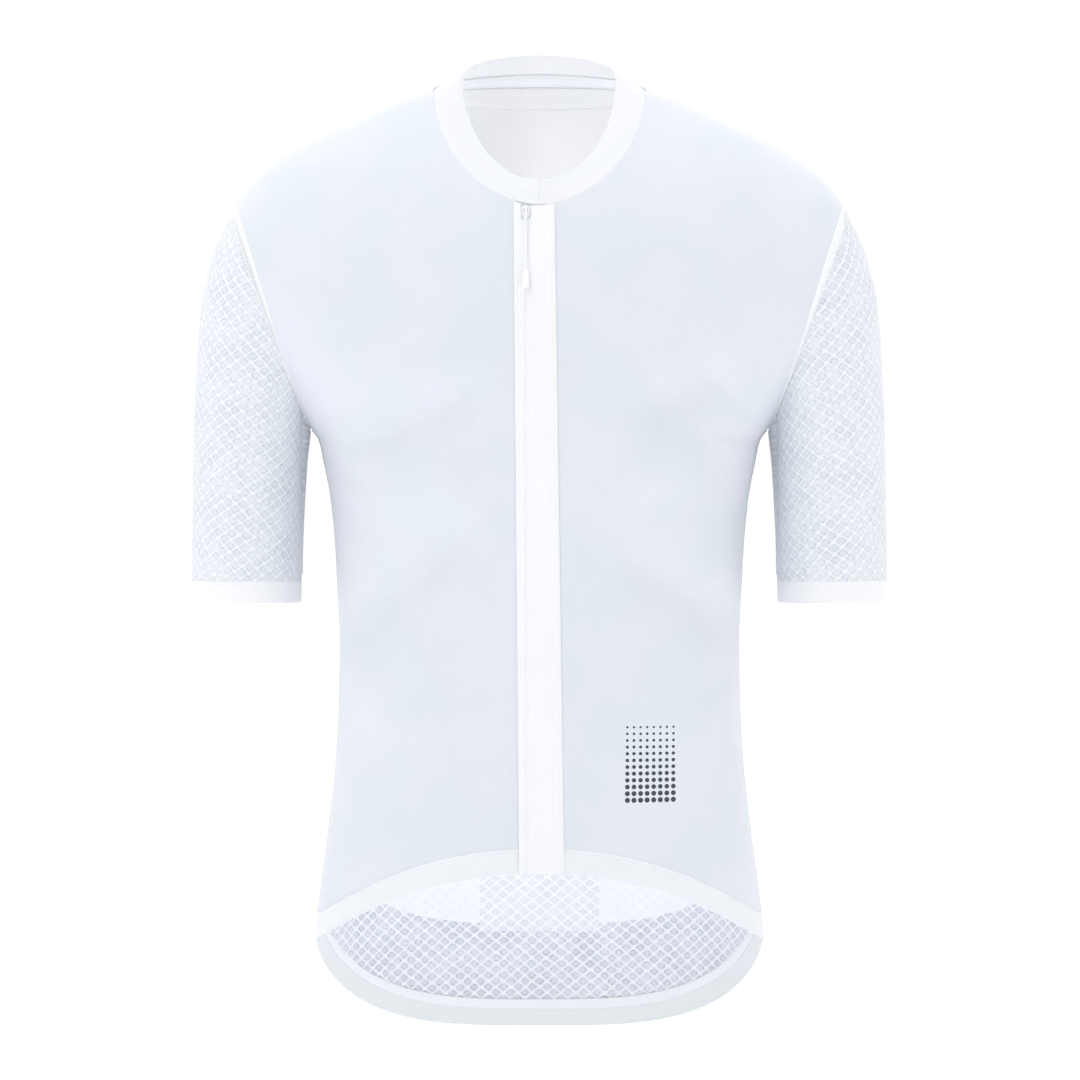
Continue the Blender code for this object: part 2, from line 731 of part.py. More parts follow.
def garage_sheet():
    """The fold of collar cloth over the zip's upper end."""
    angle = np.linspace(*GARAGE_ANGLES, 6)
    near_seam = front_neckline(angle) + np.array([(0, -MM), (0, 0), (0, MM)])[:, None]
    seam = on_torso(near_seam, FRONT)
    return ruled(seam.points[1], collar_top(angle, FRONT), seam.out[1], GARAGE_RISE)


def down_columns(sheet, drops):
    """Points and wall directions of the back neck's columns, each at its distance from the top."""
    points, outs = [], []
    for at, drop in zip(range(BACK_NECK_COLUMNS.start, BACK_NECK_COLUMNS.stop), drops):
        line, out = sheet.points[::-1, at], sheet.out[::-1, at]
        run = np.concatenate([[0], np.cumsum(np.linalg.norm(np.diff(line, axis=0), axis=1))])
        points.append([np.interp(drop, run, line[:, axis]) for axis in range(3)])
        outs.append([np.interp(drop, run, out[:, axis]) for axis in range(3)])
    return np.array(points), np.array(outs)


def neck_tape_sheet(yoke, collar):
    """Tape over the back neck seam, inside: below it on the yoke and above it on the collar."""
    below, below_out = down_columns(yoke, [NECK_TAPE_HALF] * (2 * RIDGE_COLUMN - 1))
    middle = (collar.points.shape[1] - 1) // 2 + 1
    over = np.arange(middle - RIDGE_COLUMN + 1, middle + RIDGE_COLUMN)
    above = collar.sampled((0.0, NECK_TAPE_RISE), over)
    return Sheet(np.vstack([below[None], above.points]), np.vstack([below_out[None], above.out]))


def neck_facing_sheet(yoke):
    """The half-moon facing under the tape, deepest in the middle."""
    reach = 1 - FACING_TAPER * np.linspace(-1, 1, 2 * RIDGE_COLUMN - 1) ** 2
    rows = [down_columns(yoke, FACING_TOP + FACING_DROP * reach * share) for share in (1, 0.5, 0)]
    return Sheet(np.stack([row[0] for row in rows]), np.stack([row[1] for row in rows]))


# ---------------------------------------------------------------- sleeves and cuffs


def sleeve_ring(outer_level, inner_level, half_depth, turn):
    """A ring of the +X sleeve between a point of its outer and one of its inner silhouette."""
    outer = np.array([sleeve_outer_x(outer_level), 0.0, outer_level])
    inner = np.array([sleeve_inner_x(inner_level), 0.0, inner_level])
    sideways = np.cos(turn)[:, None] * (outer - inner) / 2
    return (outer + inner) / 2 + sideways + np.sin(turn)[:, None] * half_depth * THROUGH


def tube(rings):
    """The Sheet through rings of points that close on themselves, with outward walls."""
    points = np.stack(rings)
    around = np.roll(points, -1, axis=1) - np.roll(points, 1, axis=1)
    down = np.gradient(points, axis=0)
    out = unit(np.cross(down, around))
    away = points - points.mean(axis=1, keepdims=True)
    return Sheet(points, out * np.sign(np.sum(out * away, axis=-1, keepdims=True)))


def sleeve_sheet():
    turn = np.linspace(0, 2 * math.pi, 2 * UPPER_ROWS, endpoint=False)
    rings = []
    for share in np.linspace(0, 1, SLEEVE_ROWS + 1):
        outer_level = SHOULDER_TIP[1] + (CUFF_TOP - SHOULDER_TIP[1]) * share
        inner_level = UNDERARM[1] + (CUFF_TOP - UNDERARM[1]) * share
        half_depth = ARMHOLE_HALF_DEPTH + (CUFF_HALF_DEPTH - ARMHOLE_HALF_DEPTH) * share
        rings.append(sleeve_ring(outer_level, inner_level, half_depth, turn))
    sheet = tube(rings)
    sheet.points[0] += TO_SLEEVE * HALF_SEAM
    sheet.out[0] = armhole_out(turn)
    sheet.points[-1] += UP * HALF_SEAM
    sheet.keep_to_plane(-1, UP)
    return sheet


def cuff_sheet():
    turn = np.linspace(0, 2 * math.pi, 2 * UPPER_ROWS, endpoint=False)
    top = CUFF_TOP - HALF_SEAM
    levels = (top, (top + CUFF_BOTTOM) / 2, CUFF_BOTTOM)
    sheet = tube([sleeve_ring(level, level, CUFF_HALF_DEPTH, turn) for level in levels])
    sheet.keep_to_plane(slice(None), UP)
    return sheet


# ---------------------------------------------------------------- zip and placket


def along_zip(half_width):
    """A strip of the front's surface under the slider, on both sides of the zip's middle."""
    levels = np.linspace(PLACKET_BOTTOM, ZIP_TOP, PLACKET_ROWS + 1)
    x = ZIP_X + half_width * np.array([-1.0, 0.0, 1.0])
    return on_torso(pair(x, levels[:, None]), FRONT)


def neck_level(x):
    return front_neckline(np.array([front_neck_angle(x)]))[0, 1]


def placket_sheet(side, outer_edge):
    """One side of the placket up to the collar. Its inner edge draws back beside the slider."""
    levels = np.linspace(PLACKET_BOTTOM, SLIDER_GAP_LEVELS[0], PLACKET_ROWS)
    levels = np.append(levels, (SLIDER_GAP_LEVELS[1], -FRONT_NECK_DROP))
    away = np.interp(levels, SLIDER_GAP_LEVELS, (GROOVE_HALF, SLIDER_GAP_HALF))
    share = (levels - PLACKET_BOTTOM) / (levels[-1] - PLACKET_BOTTOM)
    inner = ZIP_X + side * away
    outer = outer_edge[1] + (outer_edge[0] - outer_edge[1]) * share
    x = np.stack([inner, (inner + outer) / 2, outer][::side], axis=1)
    grid = pair(x, levels[:, None])
    grid[-1, :, 1] = [neck_level(at) - NECK_SEAM for at in grid[-1, :, 0]]
    return on_torso(grid, FRONT)


def box(size, middle):
    bpy.ops.mesh.primitive_cube_add(size=1, location=middle)
    piece = bpy.context.active_object
    piece.scale = size
    bpy.ops.object.transform_apply(location=True, scale=True)
    return piece


def rod(radius, length, middle):
    """A cylinder along x."""
    turned = (0, math.pi / 2, 0)
    bpy.ops.mesh.primitive_cylinder_add(
        vertices=ROUND_SIDES, radius=radius, depth=length, location=middle, rotation=turned
    )
    piece = bpy.context.active_object
    bpy.ops.object.transform_apply(location=True, rotation=True)
    return piece


def combine(piece, others, operation):
    """Applies a Boolean of each other shape to a piece, and removes the others."""
    for other in others:
        step = piece.modifiers.new("combine", "BOOLEAN")
        step.operation = operation
        step.object = other
        evaluated = piece.evaluated_get(bpy.context.evaluated_depsgraph_get())
        mesh = bpy.data.meshes.new_from_object(evaluated)
        piece.modifiers.clear()
        piece.data = mesh
        bpy.data.objects.remove(other)
    return piece


def slider_frame():
    """The slider's place on the front's surface, turned to the slope of the zip there."""
    level = ZIP_TOP + SEAM + SLIDER[2] / 2
    around = np.array([-SLIDER[2] / 2, 0, SLIDER[2] / 2])
    spot = on_torso(pair(ZIP_X + around[None], level + around[:, None]), FRONT)
    lean = math.atan2(spot.out[1, 1, 2], -spot.out[1, 1, 1])
    return Matrix.Translation(Vector(spot.points[1, 1])) @ Matrix.Rotation(-lean, 4, "X")


def finish_hardware(piece, name, frame, look):
    piece.data.transform(frame)
    piece.data.update()
    mesh = piece.data.copy()
    mesh.name = name
    bpy.data.objects.remove(piece)
    mesh.materials.clear()
    return place(name, mesh, look)


def zip_slider(look):
    """Slider body, its stem in the slot, and the two cheeks and the pin that carry the pull."""
    front_face = -(SEAM + SLIDER[1])
    body = box(SLIDER, (0, -SEAM - SLIDER[1] / 2, 0))
    stem = box(SLIDER_STEM, (0, SLIDER_STEM[1] / 2 - 2 * SEAM, 0))
    parts = [stem]
    for side in (-1, 1):
        parts.append(box(CHEEK, (side * CHEEK_X, front_face - CHEEK[1] / 2 + SEAM, PIN_UP)))
    parts.append(rod(PIN_RADIUS, 2 * CHEEK_X, (0, -PIN_OUT, PIN_UP)))
    return finish_hardware(combine(body, parts, "UNION"), "zip_slider", slider_frame(), look)


def zip_pull(look):
    """The pull: an eye round the slider's pin, a thin cord and a moulded grip, hanging from the pin."""
    eye = rod(EYE_RADIUS, EYE_WIDTH, (0, 0, 0))
    cord_top = -(EYE_RADIUS - JOIN)
    cord = box((EYE_WIDTH, CORD_THICKNESS, CORD_LENGTH), (0, 0, cord_top - CORD_LENGTH / 2))
    grip = box(GRIP, (0, 0, cord_top - CORD_LENGTH - GRIP[2] / 2 + 2 * JOIN))
    soften = grip.modifiers.new("soften", "BEVEL")
    soften.width = GRIP_EDGE
    soften.segments = 2
    pull = combine(eye, [cord, grip], "UNION")
    combine(pull, [rod(EYE_BORE, 4 * EYE_WIDTH, (0, 0, 0))], "DIFFERENCE")
    pin = slider_frame() @ Matrix.Translation((0, -PIN_OUT, PIN_UP))
    return finish_hardware(pull, "zip_pull", pin @ Matrix.Rotation(PULL_LEAN, 4, "X"), look)


# ---------------------------------------------------------------- the whole jersey


def material(name, colour, roughness, metallic=0.0):
    look = bpy.data.materials.new(name)
    look.use_nodes = True
    shader = look.node_tree.nodes["Principled BSDF"]
    shader.inputs["Base Color"].default_value = colour
    shader.inputs["Roughness"].default_value = roughness
    shader.inputs["Metallic"].default_value = metallic
    return look


def make_torso(knit, mesh_knit):
    fronts = {hand: front_panel(hand) for hand in (-1, 1)}
    cloth("front_right", fronts[-1], knit("front_right"))
    cloth("front_left", fronts[1], knit("front_left"))
    back, yoke = back_and_yoke()
    cloth("back", back, mesh_knit("back"))
    cloth("back_yoke", yoke, knit("back_yoke"))
    return fronts, back, yoke


def make_hems(bright):
    cloth("front_hem_right", front_band(-1), bright("front_hem_right"), BAND)
    cloth("front_hem_left", front_band(1), bright("front_hem_left"), BAND)
    cloth("tail_hem", tail_band(), material("tail_hem", GRIPPER_GREY, 0.7), BAND)


def make_neck(fronts, yoke, bright, knit):
    collar = collar_sheet(fronts, yoke)
    cloth("collar", collar, bright("collar"), COLLAR_CLOTH)
    overlay("zip_garage", garage_sheet(), bright("zip_garage"), TAPE)
    tape_out = -(COLLAR_CLOTH + 3 * LIFT)
    wall("neck_tape", neck_tape_sheet(yoke, collar), bright("neck_tape"), tape_out, tape_out - TAPE)
    facing_out = -(CLOTH + 3 * LIFT)
    wall("neck_facing", neck_facing_sheet(yoke), knit("neck_facing"), facing_out, facing_out - TAPE)


def make_sleeves(mesh_knit, bright):
    for hand, side in ((-1, "right"), (1, "left")):
        cloth("sleeve_" + side, on_hand(sleeve_sheet(), hand), mesh_knit("sleeve_" + side), ring=True)
        cloth("cuff_" + side, on_hand(cuff_sheet(), hand), bright("cuff_" + side), BAND, ring=True)


def make_pockets(back, knit, mesh_knit):
    outer, inner = POCKET_ROWS
    for index, name in enumerate(("pocket_right", "pocket_centre", "pocket_left")):
        low = CENTRE_POCKET_ROW if name == "pocket_centre" else outer
        start, end = POCKET_COLUMNS[2 * index : 2 * index + 2]
        rows = [low, *range(math.floor(low) + 1, math.ceil(inner)), inner]
        columns = [start, *range(math.floor(start) + 1, math.ceil(end)), end]
        sheet = back.sampled(rows, np.array(columns) + COLUMNS)
        look = mesh_knit if name == "pocket_centre" else knit
        overlay(name, sheet, look(name), POCKET_CLOTH)


def make_zip(bright):
    overlay("placket_strip", placket_sheet(-1, STRIP_EDGE), bright("placket_strip"), CLOTH)
    overlay("placket_flap", placket_sheet(1, FLAP_EDGE), bright("placket_flap"), CLOTH)
    for name, half, heights in (
        ("zip_tape", ZIP_TAPE_HALF, (ZIP_TAPE_DEPTH, ZIP_TAPE_DEPTH + TAPE)),
        ("zip_chain", CHAIN_HALF, CHAIN_WALL),
    ):
        sheet = along_zip(half)
        wall(name, sheet, material(name, ZIP_WHITE, 0.5), -heights[0], -heights[1])
    zip_slider(material("zip_slider", ZIP_WHITE, 0.4))
    zip_pull(material("zip_pull", ZIP_WHITE, 0.45))


def main():
    for thing in list(bpy.data.objects):
        bpy.data.objects.remove(thing)
    bpy.context.scene.collection.children.link(bpy.data.collections.new(COLLECTION))

    def knit(name):
        return material(name, KNIT_WHITE, 0.75)

    def mesh_knit(name):
        return material(name, MESH_WHITE, 0.8)

    def bright(name):
        return material(name, BRIGHT_WHITE, 0.65)

    fronts, back, yoke = make_torso(knit, mesh_knit)
    make_hems(bright)
    make_neck(fronts, yoke, bright, knit)
    make_sleeves(mesh_knit, bright)
    make_pockets(back, knit, mesh_knit)
    make_zip(bright)


main()
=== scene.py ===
"""Looks of a short-sleeved cycling jersey, kept in the shape it has when worn.

+X is the wearer's left, the front faces -Y and +Z is up, in metres. Every panel is a thin shell of
cloth on the form of its solid, with finer folds, rolled edges, flatlock seams and stitching.
"""

import math

import bmesh
import bpy
import numpy as np
from mathutils import Matrix, Vector


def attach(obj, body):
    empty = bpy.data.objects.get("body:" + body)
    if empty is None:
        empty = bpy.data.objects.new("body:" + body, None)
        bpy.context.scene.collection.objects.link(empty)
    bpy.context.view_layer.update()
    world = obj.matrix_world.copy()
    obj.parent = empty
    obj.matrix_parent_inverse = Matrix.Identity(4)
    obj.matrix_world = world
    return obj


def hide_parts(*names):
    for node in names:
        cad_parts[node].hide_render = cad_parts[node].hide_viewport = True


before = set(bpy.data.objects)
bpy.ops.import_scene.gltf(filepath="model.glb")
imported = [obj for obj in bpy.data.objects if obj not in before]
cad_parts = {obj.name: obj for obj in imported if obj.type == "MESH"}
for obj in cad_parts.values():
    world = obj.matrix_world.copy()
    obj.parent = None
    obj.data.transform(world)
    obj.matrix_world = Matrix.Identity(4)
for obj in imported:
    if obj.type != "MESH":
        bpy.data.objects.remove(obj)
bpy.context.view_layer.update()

MM = 0.001
FRONT, BACK = -1, 1
FINE = 6

CLOTH = 1.2 * MM
POCKET_CLOTH = 1.0 * MM
BAND = 1.6 * MM
COLLAR_CLOTH = 1.8 * MM
TAPE = 0.8 * MM
SEAM = 0.3 * MM
HALF_SEAM = SEAM / 2
NECK_SEAM = 0.1 * MM
LIFT = 0.06 * MM

# Torso
SQUARENESS = 2.25
NECK_HALF_WIDTH = 77.7 * MM
SHOULDER_TIP = (226.5 * MM, -90.3 * MM)
UNDERARM = (169.5 * MM, -249.4 * MM)
SIDE_HEM = (166.0 * MM, -626.0 * MM)
ARMHOLE_HALF_DEPTH = 62.0 * MM
EDGE_DEPTH_LIMIT = 0.95

# Level and half width of the shoulder line and of the side seams, in millimetres
SHOULDER = [
    (-90.3, 226.5), (-81.4, 221.0), (-72.5, 214.0), (-63.6, 206.0), (-45.9, 180.0), (-28.1, 142.5),
    (-10.4, 104.0), (0.0, 77.7), (5.1, 75.4), (9.4, 70.5), (13.5, 61.0),
]
SIDE = [
    (-710.0, 167.0), (-626.0, 166.0), (-599.0, 162.4), (-555.0, 156.5), (-496.0, 150.0),
    (-451.0, 147.6), (-407.0, 147.0), (-363.0, 149.0), (-333.0, 150.6), (-303.0, 153.6),
    (-274.0, 159.0), (-259.0, 162.4), (-249.4, 169.5),
]
# Level, depth before and depth behind the side seams, in millimetres
DEPTH = [
    (-710.0, 113.0, 119.0), (-626.0, 112.0, 117.0), (-560.0, 110.5, 113.0), (-500.0, 108.0, 107.0),
    (-420.0, 106.0, 103.0), (-360.0, 108.0, 107.0), (-300.0, 113.0, 114.0), (-250.0, 117.0, 119.0),
    (-210.0, 118.0, 120.5), (-170.0, 114.5, 118.0), (-130.0, 106.0, 112.5), (-90.3, 91.8, 104.5),
    (-63.6, 78.5, 97.5), (-45.9, 66.0, 92.0), (-28.1, 53.0, 86.5), (-10.4, 38.5, 80.5),
    (0.0, 30.0, 76.5), (13.5, 20.0, 70.0),
]

# Neckline and collar
FRONT_NECK_DROP = 93.5 * MM
BACK_NECK_RISE = 13.3 * MM
NECK_SQUARENESS = 1.9
YOKE_LEVEL = -176.0 * MM
COLLAR_TOP_HALF_WIDTH = 56.7 * MM
COLLAR_TOP_SIDE = 12.5 * MM
COLLAR_CROWN = 0.5 * MM
COLLAR_TOP_FRONT = -73.5 * MM
COLLAR_TOP_BACK = 32.5 * MM
COLLAR_TOP_FRONT_DEPTH = 78.0 * MM
COLLAR_TOP_BACK_DEPTH = 62.0 * MM
COLLAR_ENDS = (-0.7 * MM, 0.7 * MM)
NECK_TAPE_HALF = 3.0 * MM
NECK_TAPE_RISE = 0.3
FACING_TOP = 4.0 * MM
FACING_DROP = 17.0 * MM
FACING_TAPER = 0.45
FACING_COLUMNS = slice(4, -4)
TAPE_COLUMNS = slice(3, -3)
GARAGE_ANGLES = (-0.24, 0.05)
GARAGE_RISE = (0.04, 0.5)
GARAGE_SLOPE = 0.2

# Hems
FRONT_HEM_RISE = 55.1 * MM
FRONT_HEM_POWER = 2.2
FRONT_BAND = 18.0 * MM
TAIL_DROP = 79.6 * MM
TAIL_POWER = 3.2
TAIL_BAND = 16.0 * MM
TAIL_BAND_FLARE = 3.0 * MM

# Zip and placket
ZIP_X = -9.8 * MM
SLOT_HALF = 2.5 * MM
GROOVE_HALF = 0.4 * MM
SLIDER_GAP_HALF = 3.6 * MM
SLIDER_GAP_LEVELS = (-106.0 * MM, -102.8 * MM)
ZIP_TAPE_HALF = 11.0 * MM
ZIP_TAPE_DEPTH = 2.6 * MM
ZIP_TOP = -102.3 * MM
PLACKET_BOTTOM = -571.0 * MM
STRIP_EDGE = (-18.0 * MM, -13.9 * MM)
FLAP_EDGE = (10.4 * MM, 17.2 * MM)
SLIDER_LENGTH = 8.0 * MM
# The slider's rounded boxes, in millimetres: size, middle and edge radius
SLIDER_PARTS = (
    ((6.0, 1.3, 8.0), (0.0, -0.95, 0.0), 0.6),
    ((4.8, 1.4, 6.6), (0.0, -2.2, 0.0), 0.6),
    ((3.4, 2.4, 8.0), (0.0, 0.6, 0.0), 0.4),
    ((0.8, 2.9, 3.4), (-1.7, -4.05, 1.0), 0.35),
    ((0.8, 2.9, 3.4), (1.7, -4.05, 1.0), 0.35),
)
# The slider's pin, in millimetres: place across and radius, from end to end
PIN_END = ((2.2, 0.05), (2.2, 0.6), (2.0, 0.72), (1.8, 0.55))
PIN_OUTLINE = [(-x, radius) for x, radius in PIN_END] + list(PIN_END[::-1])
PIN_OUT = 4.8 * MM
PIN_UP = 1.0 * MM
CORD_LENGTH = 47.0 * MM
EYE_RADIUS = 1.5 * MM
PLACKET_ROWS = 80
CORD_RADIUS = 0.46 * MM
CORD_POINTS = 40
GRIP = (4.8 * MM, 1.8 * MM, 14.0 * MM)
# The grip's share of its full width at shares of its length
GRIP_OUTLINE = (
    (0.02, 0.50), (0.10, 0.70), (0.22, 0.80), (0.45, 0.92), (0.80, 1.0), (0.93, 0.94), (0.995, 0.72),
)
GRIP_STEPS = 48
GRIP_SIDES = 28
TOOTH_PITCH = 1.0 * MM
JOIN = 0.4 * MM
PULL_LEAN = math.radians(4.2)

# Rows and columns of the panels
COLUMNS = 12 * FINE
LOWER_ROWS = {FRONT: 15 * FINE, BACK: 17 * FINE}
UPPER_ROWS = 12 * FINE
NECK_CORNER_ROW = 4 * FINE
NECK_ROW_EASE = 1.35
YOKE_ROW = 5 * FINE
YOKE_ROW_EASE = 1.9
RIDGE_COLUMN = 5 * FINE
BACK_NECK_COLUMNS = slice(COLUMNS - RIDGE_COLUMN + 1, COLUMNS + RIDGE_COLUMN)
UNDERARM_ROWS = (0.93, 0.97, 1.0)
CLOSE_TO_SIDE = 60
UNDERARM_STRETCH = 0.8
UNDERARM_SHARPNESS = 12
LEAST_SLANT = 0.45

# Sleeves: level and x of the outer and the inner side, in millimetres
SLEEVE_OUTER = [
    (-380.0, 257.5), (-303.0, 256.4), (-244.0, 255.3), (-214.6, 253.8), (-185.0, 252.3),
    (-155.4, 249.4), (-125.8, 242.5), (-111.0, 237.0), (-90.3, 226.5),
]
SLEEVE_INNER = [
    (-380.0, 176.2), (-333.0, 175.4), (-303.0, 174.0), (-274.0, 172.2), (-259.0, 170.6),
    (-249.4, 169.5),
]
SLEEVE_GIRTH = (41.0 * MM, 54.0 * MM)
NET_LEAN = 8.0
CUFF_TOP = -363.0 * MM
CUFF_BOTTOM = -378.5 * MM
CUFF_HALF_DEPTH = 48.5 * MM
SLEEVE_ROWS = 12 * FINE

# Pockets: rows and columns of the coarse back panel at their edges
POCKET_ROWS = (2.27, 7.8)
CENTRE_POCKET_ROW = 2.04
POCKET_COLUMNS = (-7.7, -2.28, -2.18, 2.18, 2.28, 7.7)

POCKET_BULGE = 2.2 * MM
POCKET_MOUTH = 1.2 * MM
POCKET_BINDING = 9.0 * MM

# Seams and stitches: the shares of a seam tape's reach, its rise there, and the threads
STATIONS = (0.04, 0.4, 0.8, 1.0)
SEAM_RISE = (1.0, 1.0, 0.85, 0.1)
FLATLOCK = 3.6 * MM
# The armhole's tape: its reach over the body and over the sleeve, at the underarm and at the top.
ARMHOLE_BODY = (1.0 * MM, 5.4 * MM)
ARMHOLE_SLEEVE = (0.8 * MM, 2.0 * MM)
FLATLOCK_RISE = 0.5 * MM
STITCH = 2.8 * MM
THREAD = 0.24 * MM

# Net, dots and what shows of the pockets through the net
HOLE_PITCH = (1.15 * MM, 1.0 * MM)
NET_RELIEF = 0.6 * MM
NET_PITCH = (11.2 * MM, 8.9 * MM)
DOT_PITCH = 4.75 * MM
DOTS_X = (60.5 * MM, 98.5 * MM)
DOTS_Z = (-521.5 * MM, -464.5 * MM)
POCKET_FOOT = (-627.5 * MM, -633.9 * MM)
POCKET_HEAD = -468.0 * MM
POCKET_SIDE = (132.5 * MM, 26.2 * MM)
POCKET_SIDE_POWER = 3.5
CENTRE_POCKET_HALF = 45.5 * MM
NET_OVER_POCKET = 0.6
POCKET_BEHIND = (0.80, 0.815, 0.855, 1)
DOT_GREY = (0.050, 0.064, 0.070, 1)
KNIT_COLOURS = (0.705, 0.725, 0.795, 1), (0.67, 0.715, 0.765, 1)

# Walls of cloth, as heights over the outer face
WALL = (0.0, -CLOTH)
BAND_WALL = (0.0, -BAND)

# Studio
FLOOR = -1.05
SKY = (0.63, 1.06)
# Name, size, watts, place and level of the aim of each area light
AREA_LIGHTS = (
    ("key", (0.9, 0.9), 15.0, (-1.4, -2.0, 1.5), -0.3),
    ("cross", (1.2, 1.6), 1.6, (-1.8, -2.1, -0.6), -0.35),
    ("edge", (0.8, 1.4), 1.9, (-1.9, 0.1, -0.2), -0.3),
    ("cross", (1.2, 1.6), 7.5, (1.8, -2.1, -0.6), -0.35),
    ("edge", (0.8, 1.4), 1.9, (1.9, 0.1, -0.2), -0.3),
    ("back", (1.8, 1.8), 4.4, (1.2, 2.2, 1.6), -0.3),
)
# Name, watts and place of each light inside the garment, and their colour
GLOWS = (("glow_high", 0.42, (0.0, -0.03, -0.12)), ("glow_low", 0.30, (0.0, -0.02, -0.50)))
GLOW_COLOUR = (1.0, 0.97, 0.925)
SUN_POWER = 1.15
SUN_ANGLE = math.radians(40)
CAMERA_PLACE = (0.0004, -3.0, -0.333)
LENS = 135.14

# Creases of the worn cloth, in millimetres: the two ends in x and z, half width and height
FOLDS = {
    FRONT: [
        (-136.0, -262.0, -34.0, -226.0, 18.4, -9.7), (-112.0, -302.0, -52.0, -286.0, 19.3, 6.7),
        (-143.0, -404.0, -50.0, -322.0, 19.3, -10.4), (-128.0, -470.0, -66.0, -404.0, 21.2, 6.7),
        (70.0, -250.0, 138.0, -212.0, 18.4, -9.0), (64.0, -292.0, 116.0, -276.0, 19.3, 6.7),
        (62.0, -344.0, 146.0, -398.0, 20.3, -10.4), (58.0, -440.0, 122.0, -476.0, 21.2, 6.0),
    ],
    BACK: [
        (-128.0, -268.0, -48.0, -300.0, 20.3, -9.0), (134.0, -262.0, 56.0, -308.0, 19.3, -9.7),
        (-138.0, -372.0, -36.0, -408.0, 21.2, -10.4), (138.0, -386.0, 30.0, -400.0, 21.2, -9.0),
        (-104.0, -340.0, 92.0, -348.0, 23.2, 7.3), (-96.0, -448.0, 102.0, -452.0, 23.2, 6.7),
    ],
}
FINE_FOLDS = {
    FRONT: [
        (-158.0, -250.0, -112.0, -216.0, 6.0, -1.3), (-161.0, -262.0, -120.0, -250.0, 5.0, 1.0),
        (-156.0, -282.0, -118.0, -296.0, 7.0, -1.2), (-152.0, -318.0, -122.0, -352.0, 8.0, 0.9),
        (-147.0, -386.0, -104.0, -368.0, 9.0, -1.0), (-140.0, -520.0, -98.0, -548.0, 10.0, 1.0),
        (157.0, -248.0, 118.0, -208.0, 6.0, -1.2), (160.0, -270.0, 126.0, -262.0, 5.0, 1.0),
        (152.0, -300.0, 122.0, -330.0, 8.0, -1.0), (147.0, -372.0, 110.0, -350.0, 9.0, 1.0),
        (148.0, -428.0, 116.0, -444.0, 8.0, -0.9), (142.0, -532.0, 104.0, -556.0, 10.0, 0.9),
        (-96.0, -128.0, -40.0, -156.0, 15.0, -1.3), (100.0, -122.0, 46.0, -160.0, 14.0, -1.2),
    ],
    BACK: [
        (-158.0, -254.0, -116.0, -226.0, 6.0, -1.3), (-156.0, -286.0, -112.0, -304.0, 7.0, 1.2),
        (-147.0, -352.0, -96.0, -336.0, 9.0, -1.6), (-144.0, -408.0, -84.0, -424.0, 9.0, 1.4),
        (158.0, -256.0, 120.0, -222.0, 6.0, -1.3), (154.0, -296.0, 110.0, -318.0, 7.0, 1.2),
        (147.0, -358.0, 92.0, -344.0, 10.0, -1.6), (143.0, -416.0, 90.0, -430.0, 9.0, 1.3),
        (-66.0, -372.0, 44.0, -380.0, 8.0, -1.4), (-30.0, -396.0, 74.0, -390.0, 7.0, 1.2),
        (-122.0, -150.0, -66.0, -196.0, 12.0, -1.3), (118.0, -146.0, 70.0, -202.0, 13.0, -1.2),
    ],
}
FOLD_FREE_MARGIN = 24.0 * MM
FOLD_HALF_RUN = 0.48
# Creases of the +X sleeve: turn from the outer side to the front, share down the sleeve (both
# ends), half width and height in millimetres
SLEEVE_FOLDS = [
    (-2.60, 0.10, -1.60, 0.34, 7.0, -1.2), (-2.95, 0.22, -2.10, 0.52, 6.0, 0.9),
    (-1.30, 0.40, -0.50, 0.62, 9.0, -0.8), (-2.40, 0.62, -1.30, 0.80, 8.0, -0.8),
    (2.60, 0.12, 1.70, 0.38, 7.0, -1.2), (3.00, 0.26, 2.20, 0.58, 6.0, 0.9),
    (1.20, 0.44, 0.40, 0.60, 9.0, -0.8), (2.30, 0.66, 1.20, 0.82, 8.0, -0.7),
]


# ---------------------------------------------------------------- curves and the torso's surface


def curve_through(at, value):
    """Returns a smooth function through the points (at, value), with no overshoot; at increases."""
    step = np.diff(at)
    slope = np.diff(value) / step
    tangent = np.zeros(len(at))
    before, after = slope[:-1], slope[1:]
    same_way = before * after > 0
    total = np.where(same_way, before + after, 1.0)
    tangent[1:-1] = np.where(same_way, 2 * before * after / total, 0.0)
    tangent[0], tangent[-1] = slope[0], slope[-1]

    def read(x):
        x = np.clip(np.asarray(x, float), at[0], at[-1])
        i = np.clip(np.searchsorted(at, x, side="right") - 1, 0, len(step) - 1)
        f = (x - at[i]) / step[i]
        return (
            value[i] * (1 + 2 * f) * (1 - f) ** 2
            + value[i + 1] * f**2 * (3 - 2 * f)
            + step[i] * (tangent[i] * f * (1 - f) ** 2 - tangent[i + 1] * f**2 * (1 - f))
        )

    return read


def column(table, value=1):
    rows = np.array(table) * MM
    return curve_through(rows[:, 0], rows[:, value])


shoulder_half_width = column(SHOULDER)
side_half_width = column(SIDE)
depth_of = {FRONT: column(DEPTH, 1), BACK: column(DEPTH, 2)}
sleeve_outer_x = column(SLEEVE_OUTER)
sleeve_inner_x = column(SLEEVE_INNER)

ARMHOLE_MIDDLE = (np.array(SHOULDER_TIP) + np.array(UNDERARM)) / 2
ARMHOLE_RUN = np.array(SHOULDER_TIP) - np.array(UNDERARM)
ARMHOLE_HALF_LENGTH = np.hypot(*ARMHOLE_RUN) / 2
ALONG_ARMHOLE = np.array([ARMHOLE_RUN[0], 0.0, ARMHOLE_RUN[1]]) / (2 * ARMHOLE_HALF_LENGTH)
TO_SLEEVE = np.array([ALONG_ARMHOLE[2], 0.0, -ALONG_ARMHOLE[0]])
THROUGH = np.array([0.0, 1.0, 0.0])
UP = np.array([0.0, 0.0, 1.0])


def unit(vectors):
    return vectors / np.linalg.norm(vectors, axis=-1, keepdims=True)


